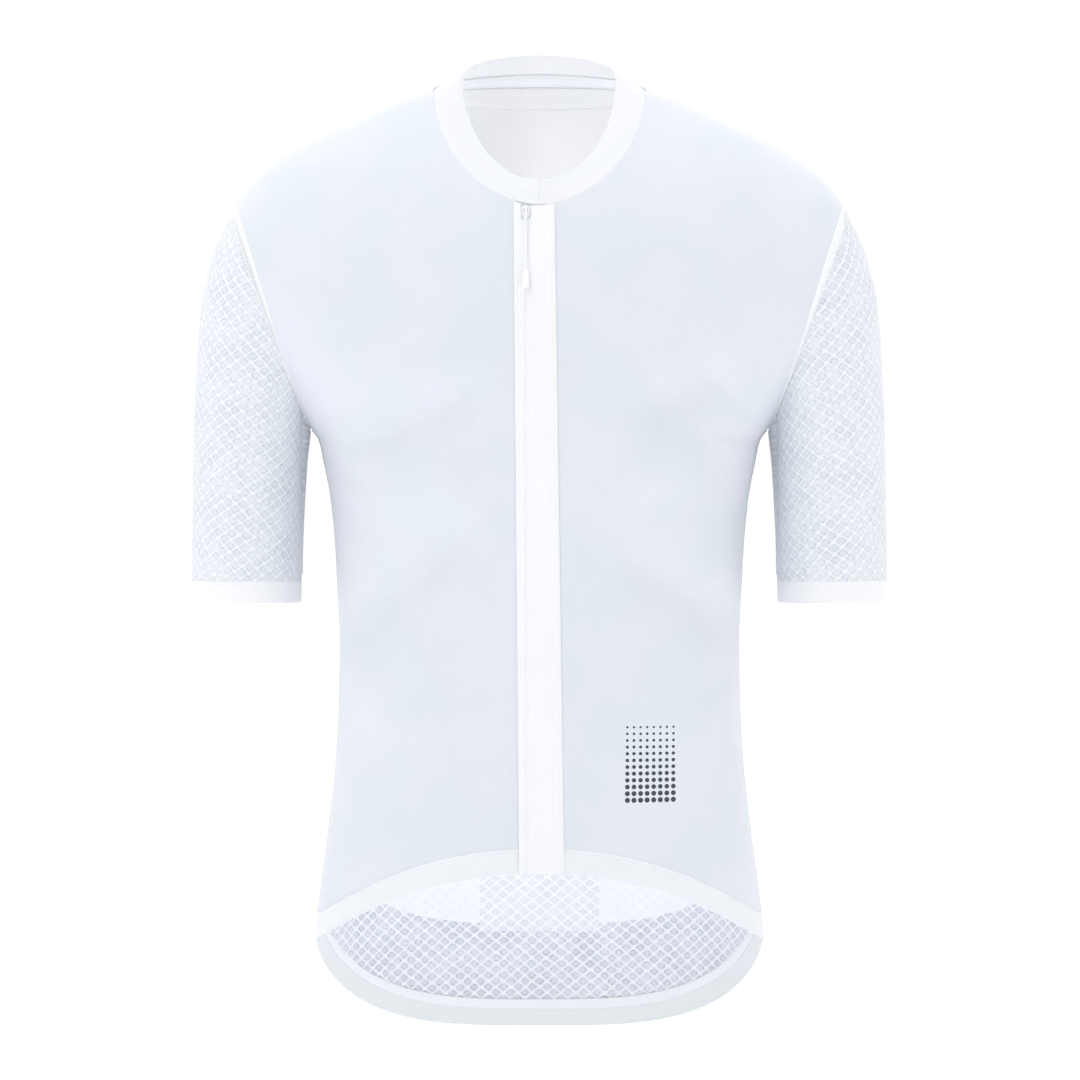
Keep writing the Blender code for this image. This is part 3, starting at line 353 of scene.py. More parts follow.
def pair(x, level):
    return np.stack(np.broadcast_arrays(x, level), axis=-1).astype(float)


def half_width(level, side):
    """Half width of the torso's ring. Beside the armhole it is that of the ring through its edge."""
    level = np.asarray(level, float)
    along = (level - ARMHOLE_MIDDLE[1]) / (ARMHOLE_RUN[1] / 2)
    edge_x = ARMHOLE_MIDDLE[0] + along * ARMHOLE_RUN[0] / 2
    edge_y = ARMHOLE_HALF_DEPTH * np.sqrt(np.clip(1 - along**2, 0, 1))
    share = np.clip(edge_y / depth_of[side](level), 0, EDGE_DEPTH_LIMIT)
    beside = edge_x / (1 - share**SQUARENESS) ** (1 / SQUARENESS)
    beyond = np.where(along > 0, shoulder_half_width(level), side_half_width(level))
    return np.where(np.abs(along) < 1, beside, beyond)


def torso_y(x, level, side):
    share = np.clip(np.abs(x) / half_width(level, side), 0, 1)
    return side * depth_of[side](level) * (1 - share**SQUARENESS) ** (1 / SQUARENESS)


def round_the_ring(x, level, side, steps=24):
    """Distance along the torso's ring at a level, from the middle to x."""
    width, depth = half_width(level, side), depth_of[side](level)
    turn = np.arcsin(np.clip(np.abs(x) / width, 0, 1))
    total, last = np.zeros(np.shape(turn)), None
    for step in range(steps + 1):
        share = np.sin(turn * step / steps)
        here = (width * share, depth * (1 - share**SQUARENESS) ** (1 / SQUARENESS))
        if last is not None:
            total = total + np.hypot(here[0] - last[0], here[1] - last[1])
        last = here
    return np.sign(x) * total


def outward(points, side):
    along = np.gradient(points, axis=1)
    up = np.gradient(points, axis=0)
    return unit(-side * np.cross(along, up))


def crease(x, y, table):
    """Height at (x, y) of the creases in a table, all in one unit of length."""
    total = np.zeros(np.shape(x))
    for x0, y0, x1, y1, spread, height in table:
        run = np.array([x1 - x0, y1 - y0])
        offset = pair(x - x0, y - y0)
        along = (offset @ run) / (run @ run)
        away = (offset[..., 0] * run[1] - offset[..., 1] * run[0]) / np.hypot(*run)
        taper = np.exp(-((np.abs(along - 0.5) / FOLD_HALF_RUN) ** 4))
        total = total + height * taper * np.exp(-((away / spread) ** 2))
    return total


def fold_height(x, level, side):
    """Height of the creases over the smooth surface, fading out at the zip and the seams."""
    edge = np.clip(np.abs(x) / half_width(level, side), 0, 1)
    clear_of_zip = np.clip(np.abs(x) / FOLD_FREE_MARGIN - 1, 0, 1) if side == FRONT else 1.0
    large = crease(x / MM, level / MM, FOLDS[side]) * (1 - edge**8)
    small = crease(x / MM, level / MM, FINE_FOLDS[side]) * (1 - edge**24)
    return (large + small) * MM * clear_of_zip


# ---------------------------------------------------------------- sheets of cloth


class Sheet:
    """A grid of points on the cloth's outer face, its wall's direction, and its place in the weave."""

    def __init__(self, points, out, weave=None):
        self.points = points
        self.out = out
        self.weave = measured(points) if weave is None else weave

    def apply(self, change):
        return Sheet(*(change(grid) for grid in (self.points, self.out, self.weave)))

    def part(self, rows=slice(None), columns=slice(None)):
        return self.apply(lambda grid: grid[rows, columns].copy())

    def turned(self):
        return self.apply(lambda grid: grid.transpose(1, 0, 2).copy())

    def mirrored(self):
        flipped = self.apply(lambda grid: grid[:, ::-1].copy())
        flipped.points[..., 0] *= -1
        flipped.out[..., 0] *= -1
        flipped.weave[..., 0] *= -1
        return flipped

    def sampled(self, rows, columns):
        """The Sheet at fractional rows and columns."""

        def pick(grid):
            for axis, at in ((0, rows), (1, columns)):
                at = np.asarray(at, float)
                low = np.clip(np.floor(at).astype(int), 0, grid.shape[axis] - 2)
                share = (at - low).reshape((-1, 1, 1) if axis == 0 else (1, -1, 1))
                grid = (1 - share) * grid.take(low, axis) + share * grid.take(low + 1, axis)
            return grid

        return self.apply(pick)

    def raised(self, height):
        return Sheet(self.points + self.out * np.asarray(height), self.out, self.weave)

    def trim(self, edge, inward):
        self.points[edge] += HALF_SEAM * unit(self.points[inward] - self.points[edge])

    def keep_to_plane(self, where, normal):
        out = self.out[where]
        flat = out - (out @ normal)[..., None] * normal
        length = np.linalg.norm(flat, axis=-1, keepdims=True)
        self.out[where] = flat / length / np.clip(length, LEAST_SLANT, 1)


def run_length(points, axis):
    """Distance along an axis of a grid of points, from its start."""
    steps = np.linalg.norm(np.diff(points, axis=axis), axis=-1)
    zero = np.zeros_like(steps.take([0], axis))
    return np.concatenate([zero, np.cumsum(steps, axis=axis)], axis=axis)


def read_along(line, key, at):
    """A line of vectors, read where the increasing key along it has the values `at`."""
    return np.stack([np.interp(at, key, line[:, k]) for k in range(3)], axis=-1)


def measured(points):
    """Distances along a grid's rows and columns, as its place in the weave."""
    return np.stack([run_length(points, 1), run_length(points, 0)], axis=-1)


def on_torso(grid, side, hand=1):
    """The Sheet over a front-view grid of (x, level), with its creases."""
    x, level = grid[..., 0], grid[..., 1]
    points = np.stack([x, torso_y(x, level, side), level], axis=-1)
    points += outward(points, side) * fold_height(hand * x, level, side)[..., None]
    weave = np.stack([round_the_ring(x, level, side), level], axis=-1)
    return Sheet(points, outward(points, side), weave)


# ---------------------------------------------------------------- outlines in front view


def front_hem(share):
    return SIDE_HEM[1] + FRONT_HEM_RISE * (1 - share**FRONT_HEM_POWER)


def front_band_top(share):
    return front_hem(share) + FRONT_BAND


def tail_hem(share):
    return SIDE_HEM[1] - TAIL_DROP * np.sqrt(1 - share**TAIL_POWER)


def tail_band_top(share):
    return tail_hem(share) + TAIL_BAND + TAIL_BAND_FLARE * share**2


def front_neckline(angle):
    power = 2 / NECK_SQUARENESS
    x = NECK_HALF_WIDTH * np.sign(angle) * np.abs(np.sin(angle)) ** power
    return pair(x, -FRONT_NECK_DROP * np.clip(np.cos(angle), 0, 1) ** power)


def front_neck_angle(x):
    return math.copysign(math.asin((abs(x) / NECK_HALF_WIDTH) ** (NECK_SQUARENESS / 2)), x)


def back_neckline(angle):
    return pair(NECK_HALF_WIDTH * np.sin(angle), BACK_NECK_RISE * np.clip(np.cos(angle), 0, 1))


def shoulder_line(x):
    levels = np.linspace(SHOULDER_TIP[1], 0, 400)
    widths = shoulder_half_width(levels)
    return pair(x, np.interp(x, widths[::-1], levels[::-1]))


def armhole_line(t):
    return ARMHOLE_MIDDLE - np.cos(np.pi * t)[:, None] * ARMHOLE_RUN / 2


def armhole_out(angle):
    along = np.cos(angle)[:, None] * ARMHOLE_HALF_DEPTH * ALONG_ARMHOLE
    across = np.sin(angle)[:, None] * ARMHOLE_HALF_LENGTH * THROUGH
    under_arm = np.clip(-np.cos(angle), 0, 1) ** UNDERARM_SHARPNESS
    return unit(along + across) * (1 + UNDERARM_STRETCH * under_arm)[:, None]


# ---------------------------------------------------------------- panels of the torso


def column_shares():
    return np.sin(np.linspace(0, math.pi / 2, COLUMNS + 1))


def row_shares(side):
    rows = LOWER_ROWS[side]
    coarse = rows // FINE
    shares = np.append(np.linspace(0, UNDERARM_ROWS[0], coarse - 1), UNDERARM_ROWS[1:])
    return np.interp(np.arange(rows + 1) / FINE, np.arange(coarse + 1), shares)


def patch(bottom, top, left, right, s, t):
    """The Coons patch between four curves; s runs along its rows and t up its columns."""
    s, t = s[None, :, None], t[:, None, None]
    corners = (1 - s) * (1 - t) * bottom[0] + s * (1 - t) * bottom[-1]
    corners = corners + (1 - s) * t * top[0] + s * t * top[-1]
    across = (1 - s) * left[:, None, :] + s * right[:, None, :]
    return across + (1 - t) * bottom[None] + t * top[None] - corners


def hem_line(inner_x, hem, edge_x=None):
    end = side_half_width(hem(1.0))
    x = inner_x + (end - inner_x) * column_shares()
    if edge_x is not None:
        x = np.concatenate([[edge_x], x[x > edge_x + CLOTH]])
    return pair(x, hem(np.abs(x) / end))


def lower_grid(inner_x, hem, side):
    s, t = column_shares(), row_shares(side)
    bottom = hem_line(inner_x, hem) + (0, HALF_SEAM)
    top = pair(inner_x + (UNDERARM[0] - inner_x) * s, UNDERARM[1])
    left = pair(inner_x, bottom[0, 1] + (UNDERARM[1] - bottom[0, 1]) * t)
    side_levels = bottom[-1, 1] + (UNDERARM[1] - bottom[-1, 1]) * t
    ends = side_half_width(side_levels)
    grid = patch(bottom, top, left, pair(ends, side_levels), s, t)
    over = half_width(grid[..., 1], side) - ends[:, None]
    grid[..., 0] += over * s**CLOSE_TO_SIDE * np.clip(t * COLUMNS, 0, 1)[:, None]
    return grid


def front_neck_edge(inner_x):
    first = front_neck_angle(inner_x)
    corner = front_neckline(np.array([first]))[0, 1]
    straight = np.linspace(UNDERARM[1], corner, NECK_CORNER_ROW + 1)[:-1]
    swing = np.linspace(0, 1, UPPER_ROWS - NECK_CORNER_ROW + 1)
    angles = math.pi / 2 - (math.pi / 2 - first) * (1 - swing) ** NECK_ROW_EASE
    return np.vstack([pair(inner_x, straight), front_neckline(angles)]), angles


def ridge_line(shares):
    beyond = (shares - shares[0]) / (1 - shares[0])
    return shoulder_line(NECK_HALF_WIDTH + (SHOULDER_TIP[0] - NECK_HALF_WIDTH) * beyond)


def front_grid(inner_x):
    s, t = column_shares(), np.linspace(0, 1, UPPER_ROWS + 1)
    underarm = pair(inner_x + (UNDERARM[0] - inner_x) * s, UNDERARM[1])
    inner_edge = front_neck_edge(inner_x)[0]
    upper = patch(underarm, ridge_line(s), inner_edge, armhole_line(t), s, t)
    return np.vstack([lower_grid(inner_x, front_band_top, FRONT), upper[1:]])


def back_grid():
    s, t = column_shares(), np.linspace(0, 1, UPPER_ROWS + 1)
    armhole = armhole_line(t)
    seam_end = armhole[YOKE_ROW]
    underarm = pair(UNDERARM[0] * s, UNDERARM[1])
    seam = pair(seam_end[0] * s, YOKE_LEVEL + (seam_end[1] - YOKE_LEVEL) * s**2)
    neck = back_neckline(np.linspace(0, math.pi / 2, RIDGE_COLUMN + 1))
    top = np.vstack([neck[:-1], ridge_line(s[RIDGE_COLUMN:])])
    rise = np.linspace(0, 1, YOKE_ROW + 1)
    middle = pair(0.0, UNDERARM[1] + (YOKE_LEVEL - UNDERARM[1]) * rise)
    under = patch(underarm, seam, middle, armhole[: YOKE_ROW + 1], s, rise)
    rise = np.linspace(0, 1, UPPER_ROWS - YOKE_ROW + 1)
    eased = 1 - (1 - rise) ** YOKE_ROW_EASE
    middle = pair(0.0, YOKE_LEVEL + (BACK_NECK_RISE - YOKE_LEVEL) * eased)
    over = patch(seam, top, middle, armhole[YOKE_ROW:], s, rise)
    return np.vstack([lower_grid(0.0, tail_band_top, BACK), under[1:], over[1:]])


def both_halves(grid):
    return np.concatenate([grid[:, :0:-1] * (-1, 1), grid], axis=1)


def finish_side(sheet, side):
    underarm = LOWER_ROWS[side]
    shoulder = COLUMNS + 1 - (0 if side == FRONT else RIDGE_COLUMN)
    for seam in ((slice(0, underarm), -1), (-1, slice(-shoulder, None))):
        sheet.points[seam + (1,)] = side * HALF_SEAM
        sheet.keep_to_plane(seam, THROUGH)
    sheet.out[underarm:, -1] = armhole_out(side * np.linspace(math.pi, 0, UPPER_ROWS + 1))
    sheet.points[underarm:, -1] -= TO_SLEEVE * HALF_SEAM
    sheet.points[underarm, -1, 1] = side * HALF_SEAM


def on_hand(sheet, hand):
    return sheet if hand > 0 else sheet.mirrored()


def front_panel(hand):
    sheet = on_torso(front_grid(ZIP_X * hand + SLOT_HALF), FRONT, hand)
    finish_side(sheet, FRONT)
    return on_hand(sheet, hand)


def back_and_yoke():
    whole = on_torso(both_halves(back_grid()), BACK)
    finish_side(whole, BACK)
    whole = whole.mirrored()
    finish_side(whole, BACK)
    whole = whole.mirrored()
    seam = LOWER_ROWS[BACK] + YOKE_ROW
    back, yoke = whole.part(slice(0, seam + 1)), whole.part(slice(seam, None))
    back.trim(-1, -2)
    yoke.trim(0, 1)
    return back, yoke


def band_grid(inner_x, edge_x, hem, band_top, rows):
    low = hem_line(inner_x, hem, edge_x)
    high = hem_line(inner_x, band_top, edge_x) - (0, HALF_SEAM)
    return low + (high - low) * np.linspace(0, 1, rows)[:, None, None]


def finish_band(sheet, side):
    sheet.points[:, -1, 1] = side * HALF_SEAM
    sheet.keep_to_plane((slice(None), -1), THROUGH)


def front_band(hand):
    edge_x = FLAP_EDGE[1] if hand > 0 else -STRIP_EDGE[1]
    grid = band_grid(ZIP_X * hand + SLOT_HALF, edge_x + SEAM, front_hem, front_band_top, 9)
    sheet = on_torso(grid, FRONT, hand)
    sheet.weave = measured(sheet.points)
    finish_band(sheet, FRONT)
    return on_hand(sheet, hand)


def tail_band():
    sheet = on_torso(both_halves(band_grid(0.0, None, tail_hem, tail_band_top, 9)), BACK)
    sheet.weave = measured(sheet.points)
    finish_band(sheet, BACK)
    sheet = sheet.mirrored()
    finish_band(sheet, BACK)
    return sheet


# ---------------------------------------------------------------- neck


def collar_top(angle, side):
    depth = COLLAR_TOP_FRONT_DEPTH if side == FRONT else COLLAR_TOP_BACK_DEPTH
    middle = COLLAR_TOP_FRONT if side == FRONT else COLLAR_TOP_BACK
    x = COLLAR_TOP_HALF_WIDTH * np.sin(angle)
    level = COLLAR_TOP_SIDE + (middle - COLLAR_TOP_SIDE) * np.cos(angle)
    return np.stack([x, side * depth * np.cos(angle), level], axis=-1)


def ruled(seam, top, seam_out, shares):
    along = np.gradient(seam + top, axis=0)
    own = unit(np.cross(along, top - seam))
    own *= np.sign(np.sum(own * seam_out, axis=-1, keepdims=True))
    points = np.stack([seam + (top - seam) * share for share in shares])
    turn = [min(share * 2, 1) for share in shares]
    out = np.stack([unit(seam_out * (1 - share) + own * share) for share in turn])
    return Sheet(points, out)


def neck_seam(fronts, yoke):
    def front_side(hand):
        edge = (slice(LOWER_ROWS[FRONT] + NECK_CORNER_ROW, None), 0 if hand > 0 else -1)
        angle = front_neck_edge(ZIP_X * hand + SLOT_HALF)[1]
        top = collar_top(angle, FRONT) * (hand, 1, 1)
        return fronts[hand].points[edge], fronts[hand].out[edge], top

    angle = np.linspace(-math.pi / 2, math.pi / 2, 2 * RIDGE_COLUMN + 1)[1:-1]
    behind = (-1, BACK_NECK_COLUMNS)
    back = yoke.points[behind], yoke.out[behind], collar_top(angle, BACK)
    left = [values[::-1] for values in front_side(1)]
    return [np.vstack(values) for values in zip(front_side(-1), back, left)]


def collar_sheet(fronts, yoke):
    """The collar from end to end. Its ends meet in front, over the left front's inner edge."""
    seam, out, top = neck_seam(fronts, yoke)
    left = slice(-(UPPER_ROWS - NECK_CORNER_ROW + 1), None)

    def reaching(values, ends):
        over = values[left]
        x = seam[left, 0]
        cut = read_along(over[::-1], x[::-1], ends)
        below, above = over[x < ends[0] - SEAM], over[x > ends[1] + SEAM]
        return np.vstack([cut[:1], below, values[: len(values) - len(over)], above, cut[1:]])

    out = unit(reaching(out, COLLAR_ENDS))
    top = reaching(top, COLLAR_ENDS)
    seam = reaching(seam, COLLAR_ENDS)
    rise = top - seam
    square = rise - np.sum(rise * out, axis=-1, keepdims=True) * out
    shares = np.linspace(0, 1, 13)
    sheet = ruled(seam + unit(square) * NECK_SEAM, top, out, shares)
    return sheet.raised(COLLAR_CROWN * np.sin(math.pi * shares)[:, None, None] ** 0.7)


def garage_sheet():
    """The fold of collar cloth over the zip's upper end."""
    angle = np.linspace(*GARAGE_ANGLES, 26)
    near_seam = front_neckline(angle) + np.array([(0, -MM), (0, 0), (0, MM)])[:, None]
    seam = on_torso(near_seam, FRONT)
    top = collar_top(angle, FRONT)
    sheet = ruled(seam.points[1], top, seam.out[1], np.linspace(*GARAGE_RISE, 9))
    slope = np.linspace(1, GARAGE_SLOPE, len(angle))
    low, rise = sheet.points[0], sheet.points - sheet.points[0]
    return Sheet(low + rise * slope[:, None], sheet.out).raised(COLLAR_CROWN)


def down_columns(sheet, drops):
    """Points and wall directions of the back neck's columns, each at its distance from the top."""
    points, outs = [], []
    for at, drop in zip(range(BACK_NECK_COLUMNS.start, BACK_NECK_COLUMNS.stop), drops):
        line, out = sheet.points[::-1, at], sheet.out[::-1, at]
        run = run_length(line[None], 1)[0]
        points.append(read_along(line, run, drop))
        outs.append(read_along(out, run, drop))
    return np.array(points), np.array(outs)


def neck_tape_sheet(yoke, collar):
    below, below_out = down_columns(yoke, [NECK_TAPE_HALF] * (2 * RIDGE_COLUMN - 1))
    run = collar.points[0, :, 1]
    behind = np.nonzero(run > NECK_TAPE_HALF)[0]
    turn = np.linspace(behind[0], behind[-1], 2 * RIDGE_COLUMN - 1)
    above = collar.sampled((0.0, NECK_TAPE_RISE * (collar.points.shape[0] - 1)), turn)
    return Sheet(np.vstack([below[None], above.points]), np.vstack([below_out[None], above.out]))


def neck_facing_sheet(yoke):
    reach = 1 - FACING_TAPER * np.linspace(-1, 1, 2 * RIDGE_COLUMN - 1) ** 2
    shares = np.linspace(1, 0, 9)
    rows = [down_columns(yoke, FACING_TOP + FACING_DROP * reach * share) for share in shares]
    return Sheet(np.stack([row[0] for row in rows]), np.stack([row[1] for row in rows]))


# ---------------------------------------------------------------- sleeves, cuffs and placket


def sleeve_ring(outer_level, inner_level, half_depth, turn):
    outer = np.array([sleeve_outer_x(outer_level), 0.0, outer_level])
    inner = np.array([sleeve_inner_x(inner_level), 0.0, inner_level])
    sideways = np.cos(turn)[:, None] * (outer - inner) / 2
    return (outer + inner) / 2 + sideways + np.sin(turn)[:, None] * half_depth * THROUGH


def sleeve_turn():
    """Turns round a sleeve from its inner side over the front, the outer side and the back."""
    return np.linspace(-math.pi, math.pi, 2 * UPPER_ROWS + 1)


def tube(rings):
    """The Sheet through closed rings whose last point is their first, with outward walls."""
    points = np.stack(rings)
    loop = points[:, :-1]
    around = np.roll(loop, -1, axis=1) - np.roll(loop, 1, axis=1)
    out = unit(np.cross(np.gradient(loop, axis=0), around))
    away = loop - loop.mean(axis=1, keepdims=True)
    out *= np.sign(np.sum(out * away, axis=-1, keepdims=True))
    return Sheet(points, np.concatenate([out, out[:, :1]], axis=1))


def sleeve_weave(points, turn):
    """Place in a sleeve's net: its courses run level from the outer side, whatever the armhole."""
    level = points[..., 2]
    width = sleeve_outer_x(CUFF_TOP) - sleeve_inner_x(CUFF_TOP)
    share = np.clip((sleeve_outer_x(level) - points[..., 0]) / width, 0, 1)
    turns = np.linspace(0, math.pi, 181)
    run = np.cumsum(np.hypot(SLEEVE_GIRTH[0] * np.sin(turns), SLEEVE_GIRTH[1] * np.cos(turns)))
    run = (run - run[0]) * turns[1]
    around = np.sign(turn) * np.interp(np.arccos(1 - 2 * share), turns, run)
    lean = math.radians(NET_LEAN)
    across = math.cos(lean) * around + math.sin(lean) * level
    return np.stack([across, math.cos(lean) * level - math.sin(lean) * around], axis=-1)


def sleeve_sheet():
    turn = sleeve_turn()
    rings = []
    for share in np.linspace(0, 1, SLEEVE_ROWS + 1):
        outer_level = SHOULDER_TIP[1] + (CUFF_TOP - SHOULDER_TIP[1]) * share
        inner_level = UNDERARM[1] + (CUFF_TOP - UNDERARM[1]) * share
        half_depth = ARMHOLE_HALF_DEPTH + (CUFF_HALF_DEPTH - ARMHOLE_HALF_DEPTH) * share
        rings.append(sleeve_ring(outer_level, inner_level, half_depth, turn))
    sheet = tube(rings)
    weave = sleeve_weave(sheet.points, turn)
    share = np.linspace(0, 1, SLEEVE_ROWS + 1)[:, None]
    near_ends = np.clip(share * 8, 0, 1) * np.clip((1 - share) * 8, 0, 1)
    height = crease(turn[None, :] * 50, share * 200, SLEEVE_FOLDS) * near_ends * MM
    height[:, 0] = height[:, -1] = 0.0
    sheet.points += sheet.out * height[..., None]
    sheet = tube(sheet.points)
    sheet.points[0] += TO_SLEEVE * HALF_SEAM
    sheet.out[0] = armhole_out(turn)
    sheet.points[-1] += UP * HALF_SEAM
    sheet.keep_to_plane(-1, UP)
    sheet.weave = weave
    return sheet


def cuff_sheet():
    top = CUFF_TOP - HALF_SEAM
    levels = np.linspace(top, CUFF_BOTTOM, 9)
    sheet = tube([sleeve_ring(z, z, CUFF_HALF_DEPTH, sleeve_turn()) for z in levels])
    sheet.keep_to_plane(slice(None), UP)
    return sheet


def along_zip(half_width):
    """A strip of the front's surface under the slider, on both sides of the zip's middle."""
    levels = np.linspace(PLACKET_BOTTOM, ZIP_TOP, PLACKET_ROWS + 1)
    x = ZIP_X + half_width * np.linspace(-1, 1, 9)
    return on_torso(pair(x, levels[:, None]), FRONT)


def neck_level(x):
    return front_neckline(np.array([front_neck_angle(x)]))[0, 1]


def placket_sheet(side, outer_edge):
    """One side of the placket up to the collar. Its inner edge draws back beside the slider."""
    levels = np.linspace(PLACKET_BOTTOM, SLIDER_GAP_LEVELS[0], PLACKET_ROWS)
    levels = np.concatenate([levels, np.linspace(SLIDER_GAP_LEVELS[0], -FRONT_NECK_DROP, 12)[1:]])
    bend = np.clip((levels - SLIDER_GAP_LEVELS[0]) / np.ptp(SLIDER_GAP_LEVELS), 0, 1)
    away = GROOVE_HALF + (SLIDER_GAP_HALF - GROOVE_HALF) * bend**2 * (3 - 2 * bend)
    share = (levels - PLACKET_BOTTOM) / (levels[-1] - PLACKET_BOTTOM)
    inner = ZIP_X + side * away
    outer = outer_edge[1] + (outer_edge[0] - outer_edge[1]) * share
    x = inner[:, None] + (outer - inner)[:, None] * np.linspace(0, 1, 9)
    x = x[:, ::side]
    grid = pair(x, levels[:, None])
    top = np.array([neck_level(at) - NECK_SEAM for at in x[-1]])
    near_top = np.clip((levels - SLIDER_GAP_LEVELS[1]) / (levels[-1] - SLIDER_GAP_LEVELS[1]), 0, 1)
    grid[..., 1] += near_top[:, None] * (top - levels[-1])
    sheet = on_torso(grid, FRONT)
    sheet.weave = measured(sheet.points)
    return sheet.turned()


# ---------------------------------------------------------------- shells of cloth


def new_object(name, data, place=(0, 0, 0)):
    made = bpy.data.objects.new(name, data)
    made.location = place
    bpy.context.scene.collection.objects.link(made)
    return made


def add_mesh(name, points, faces, weave=None, smooth=60):
    """A mesh piece from points and faces; weave has one (u, v) for each corner of each face."""
    mesh = bpy.data.meshes.new(name)
    mesh.from_pydata(np.asarray(points, float).reshape(-1, 3).tolist(), [], faces)
    if weave is not None:
        layer = mesh.uv_layers.new(name="weave")
        layer.data.foreach_set("uv", np.asarray(weave, float).ravel())
    shape = bmesh.new()
    shape.from_mesh(mesh)
    bmesh.ops.recalc_face_normals(shape, faces=shape.faces)
    shape.to_mesh(mesh)
    shape.free()
    mesh.shade_smooth()
    mesh.set_sharp_from_angle(angle=math.radians(smooth))
    return new_object(name, mesh)


def shell(name, sheet, look, heights, ring=False, rims=(0.45, 0.45)):
    """A closed shell between two heights over a Sheet. The first and last row's edges are round,
    each pushed out by its share of the thickness; a ring's last column is its first."""
    rows, columns = sheet.points.shape[:2]
    outer = sheet.points + sheet.out * heights[0]
    inner = sheet.points + sheet.out * heights[1]
    half = (outer + inner) / 2
    thickness = abs(heights[0] - heights[1])
    first = half[0] + unit(half[0] - half[1]) * thickness * rims[0]
    last = half[-1] + unit(half[-1] - half[-2]) * thickness * rims[1]
    loop = np.concatenate([outer, last[None], inner[::-1], first[None]])
    place = np.concatenate([sheet.weave, sheet.weave[-1:], sheet.weave[::-1], sheet.weave[:1]])
    if ring:
        loop = loop[:, :-1]
    size = loop.shape[0]
    spans = np.arange(columns - 1)
    r = np.arange(size)
    following = (r + 1) % size
    wrapped = (spans + 1) % loop.shape[1]
    quads = np.stack(
        [
            r[:, None] * loop.shape[1] + spans,
            r[:, None] * loop.shape[1] + wrapped,
            following[:, None] * loop.shape[1] + wrapped,
            following[:, None] * loop.shape[1] + spans,
        ],
        axis=-1,
    ).reshape(-1, 4)
    weave = np.stack(
        [
            place[r][:, spans],
            place[r][:, spans + 1],
            place[following][:, spans + 1],
            place[following][:, spans],
        ],
        axis=2,
    ).reshape(-1, 2)
    faces, corners = quads.tolist(), [weave]
    for at in () if ring else (0, columns - 1):
        for row in range(rows - 1):
            four = (row, row + 1, size - 3 - row, size - 2 - row)
            faces.append([i * columns + at for i in four])
            corners.append(place[list(four), at])
        for three in ((rows - 1, rows, rows + 1), (size - 2, size - 1, 0)):
            faces.append([i * columns + at for i in three])
            corners.append(place[list(three), at])
    piece = add_mesh(name, loop, faces, np.vstack(corners))
    piece.data.materials.append(look)
    return piece


def cut_size(sheet):
    """Width, length and area of the cloth that a Sheet was cut from."""
    along = run_length(sheet.points, 1)[:, -1].max()
    up = run_length(sheet.points, 0)[-1].max()
    a, b = np.diff(sheet.points, axis=0)[:, :-1], np.diff(sheet.points, axis=1)[:-1]
    area = np.linalg.norm(np.cross(a, b), axis=-1).sum()
    return along, up, area


# ---------------------------------------------------------------- materials


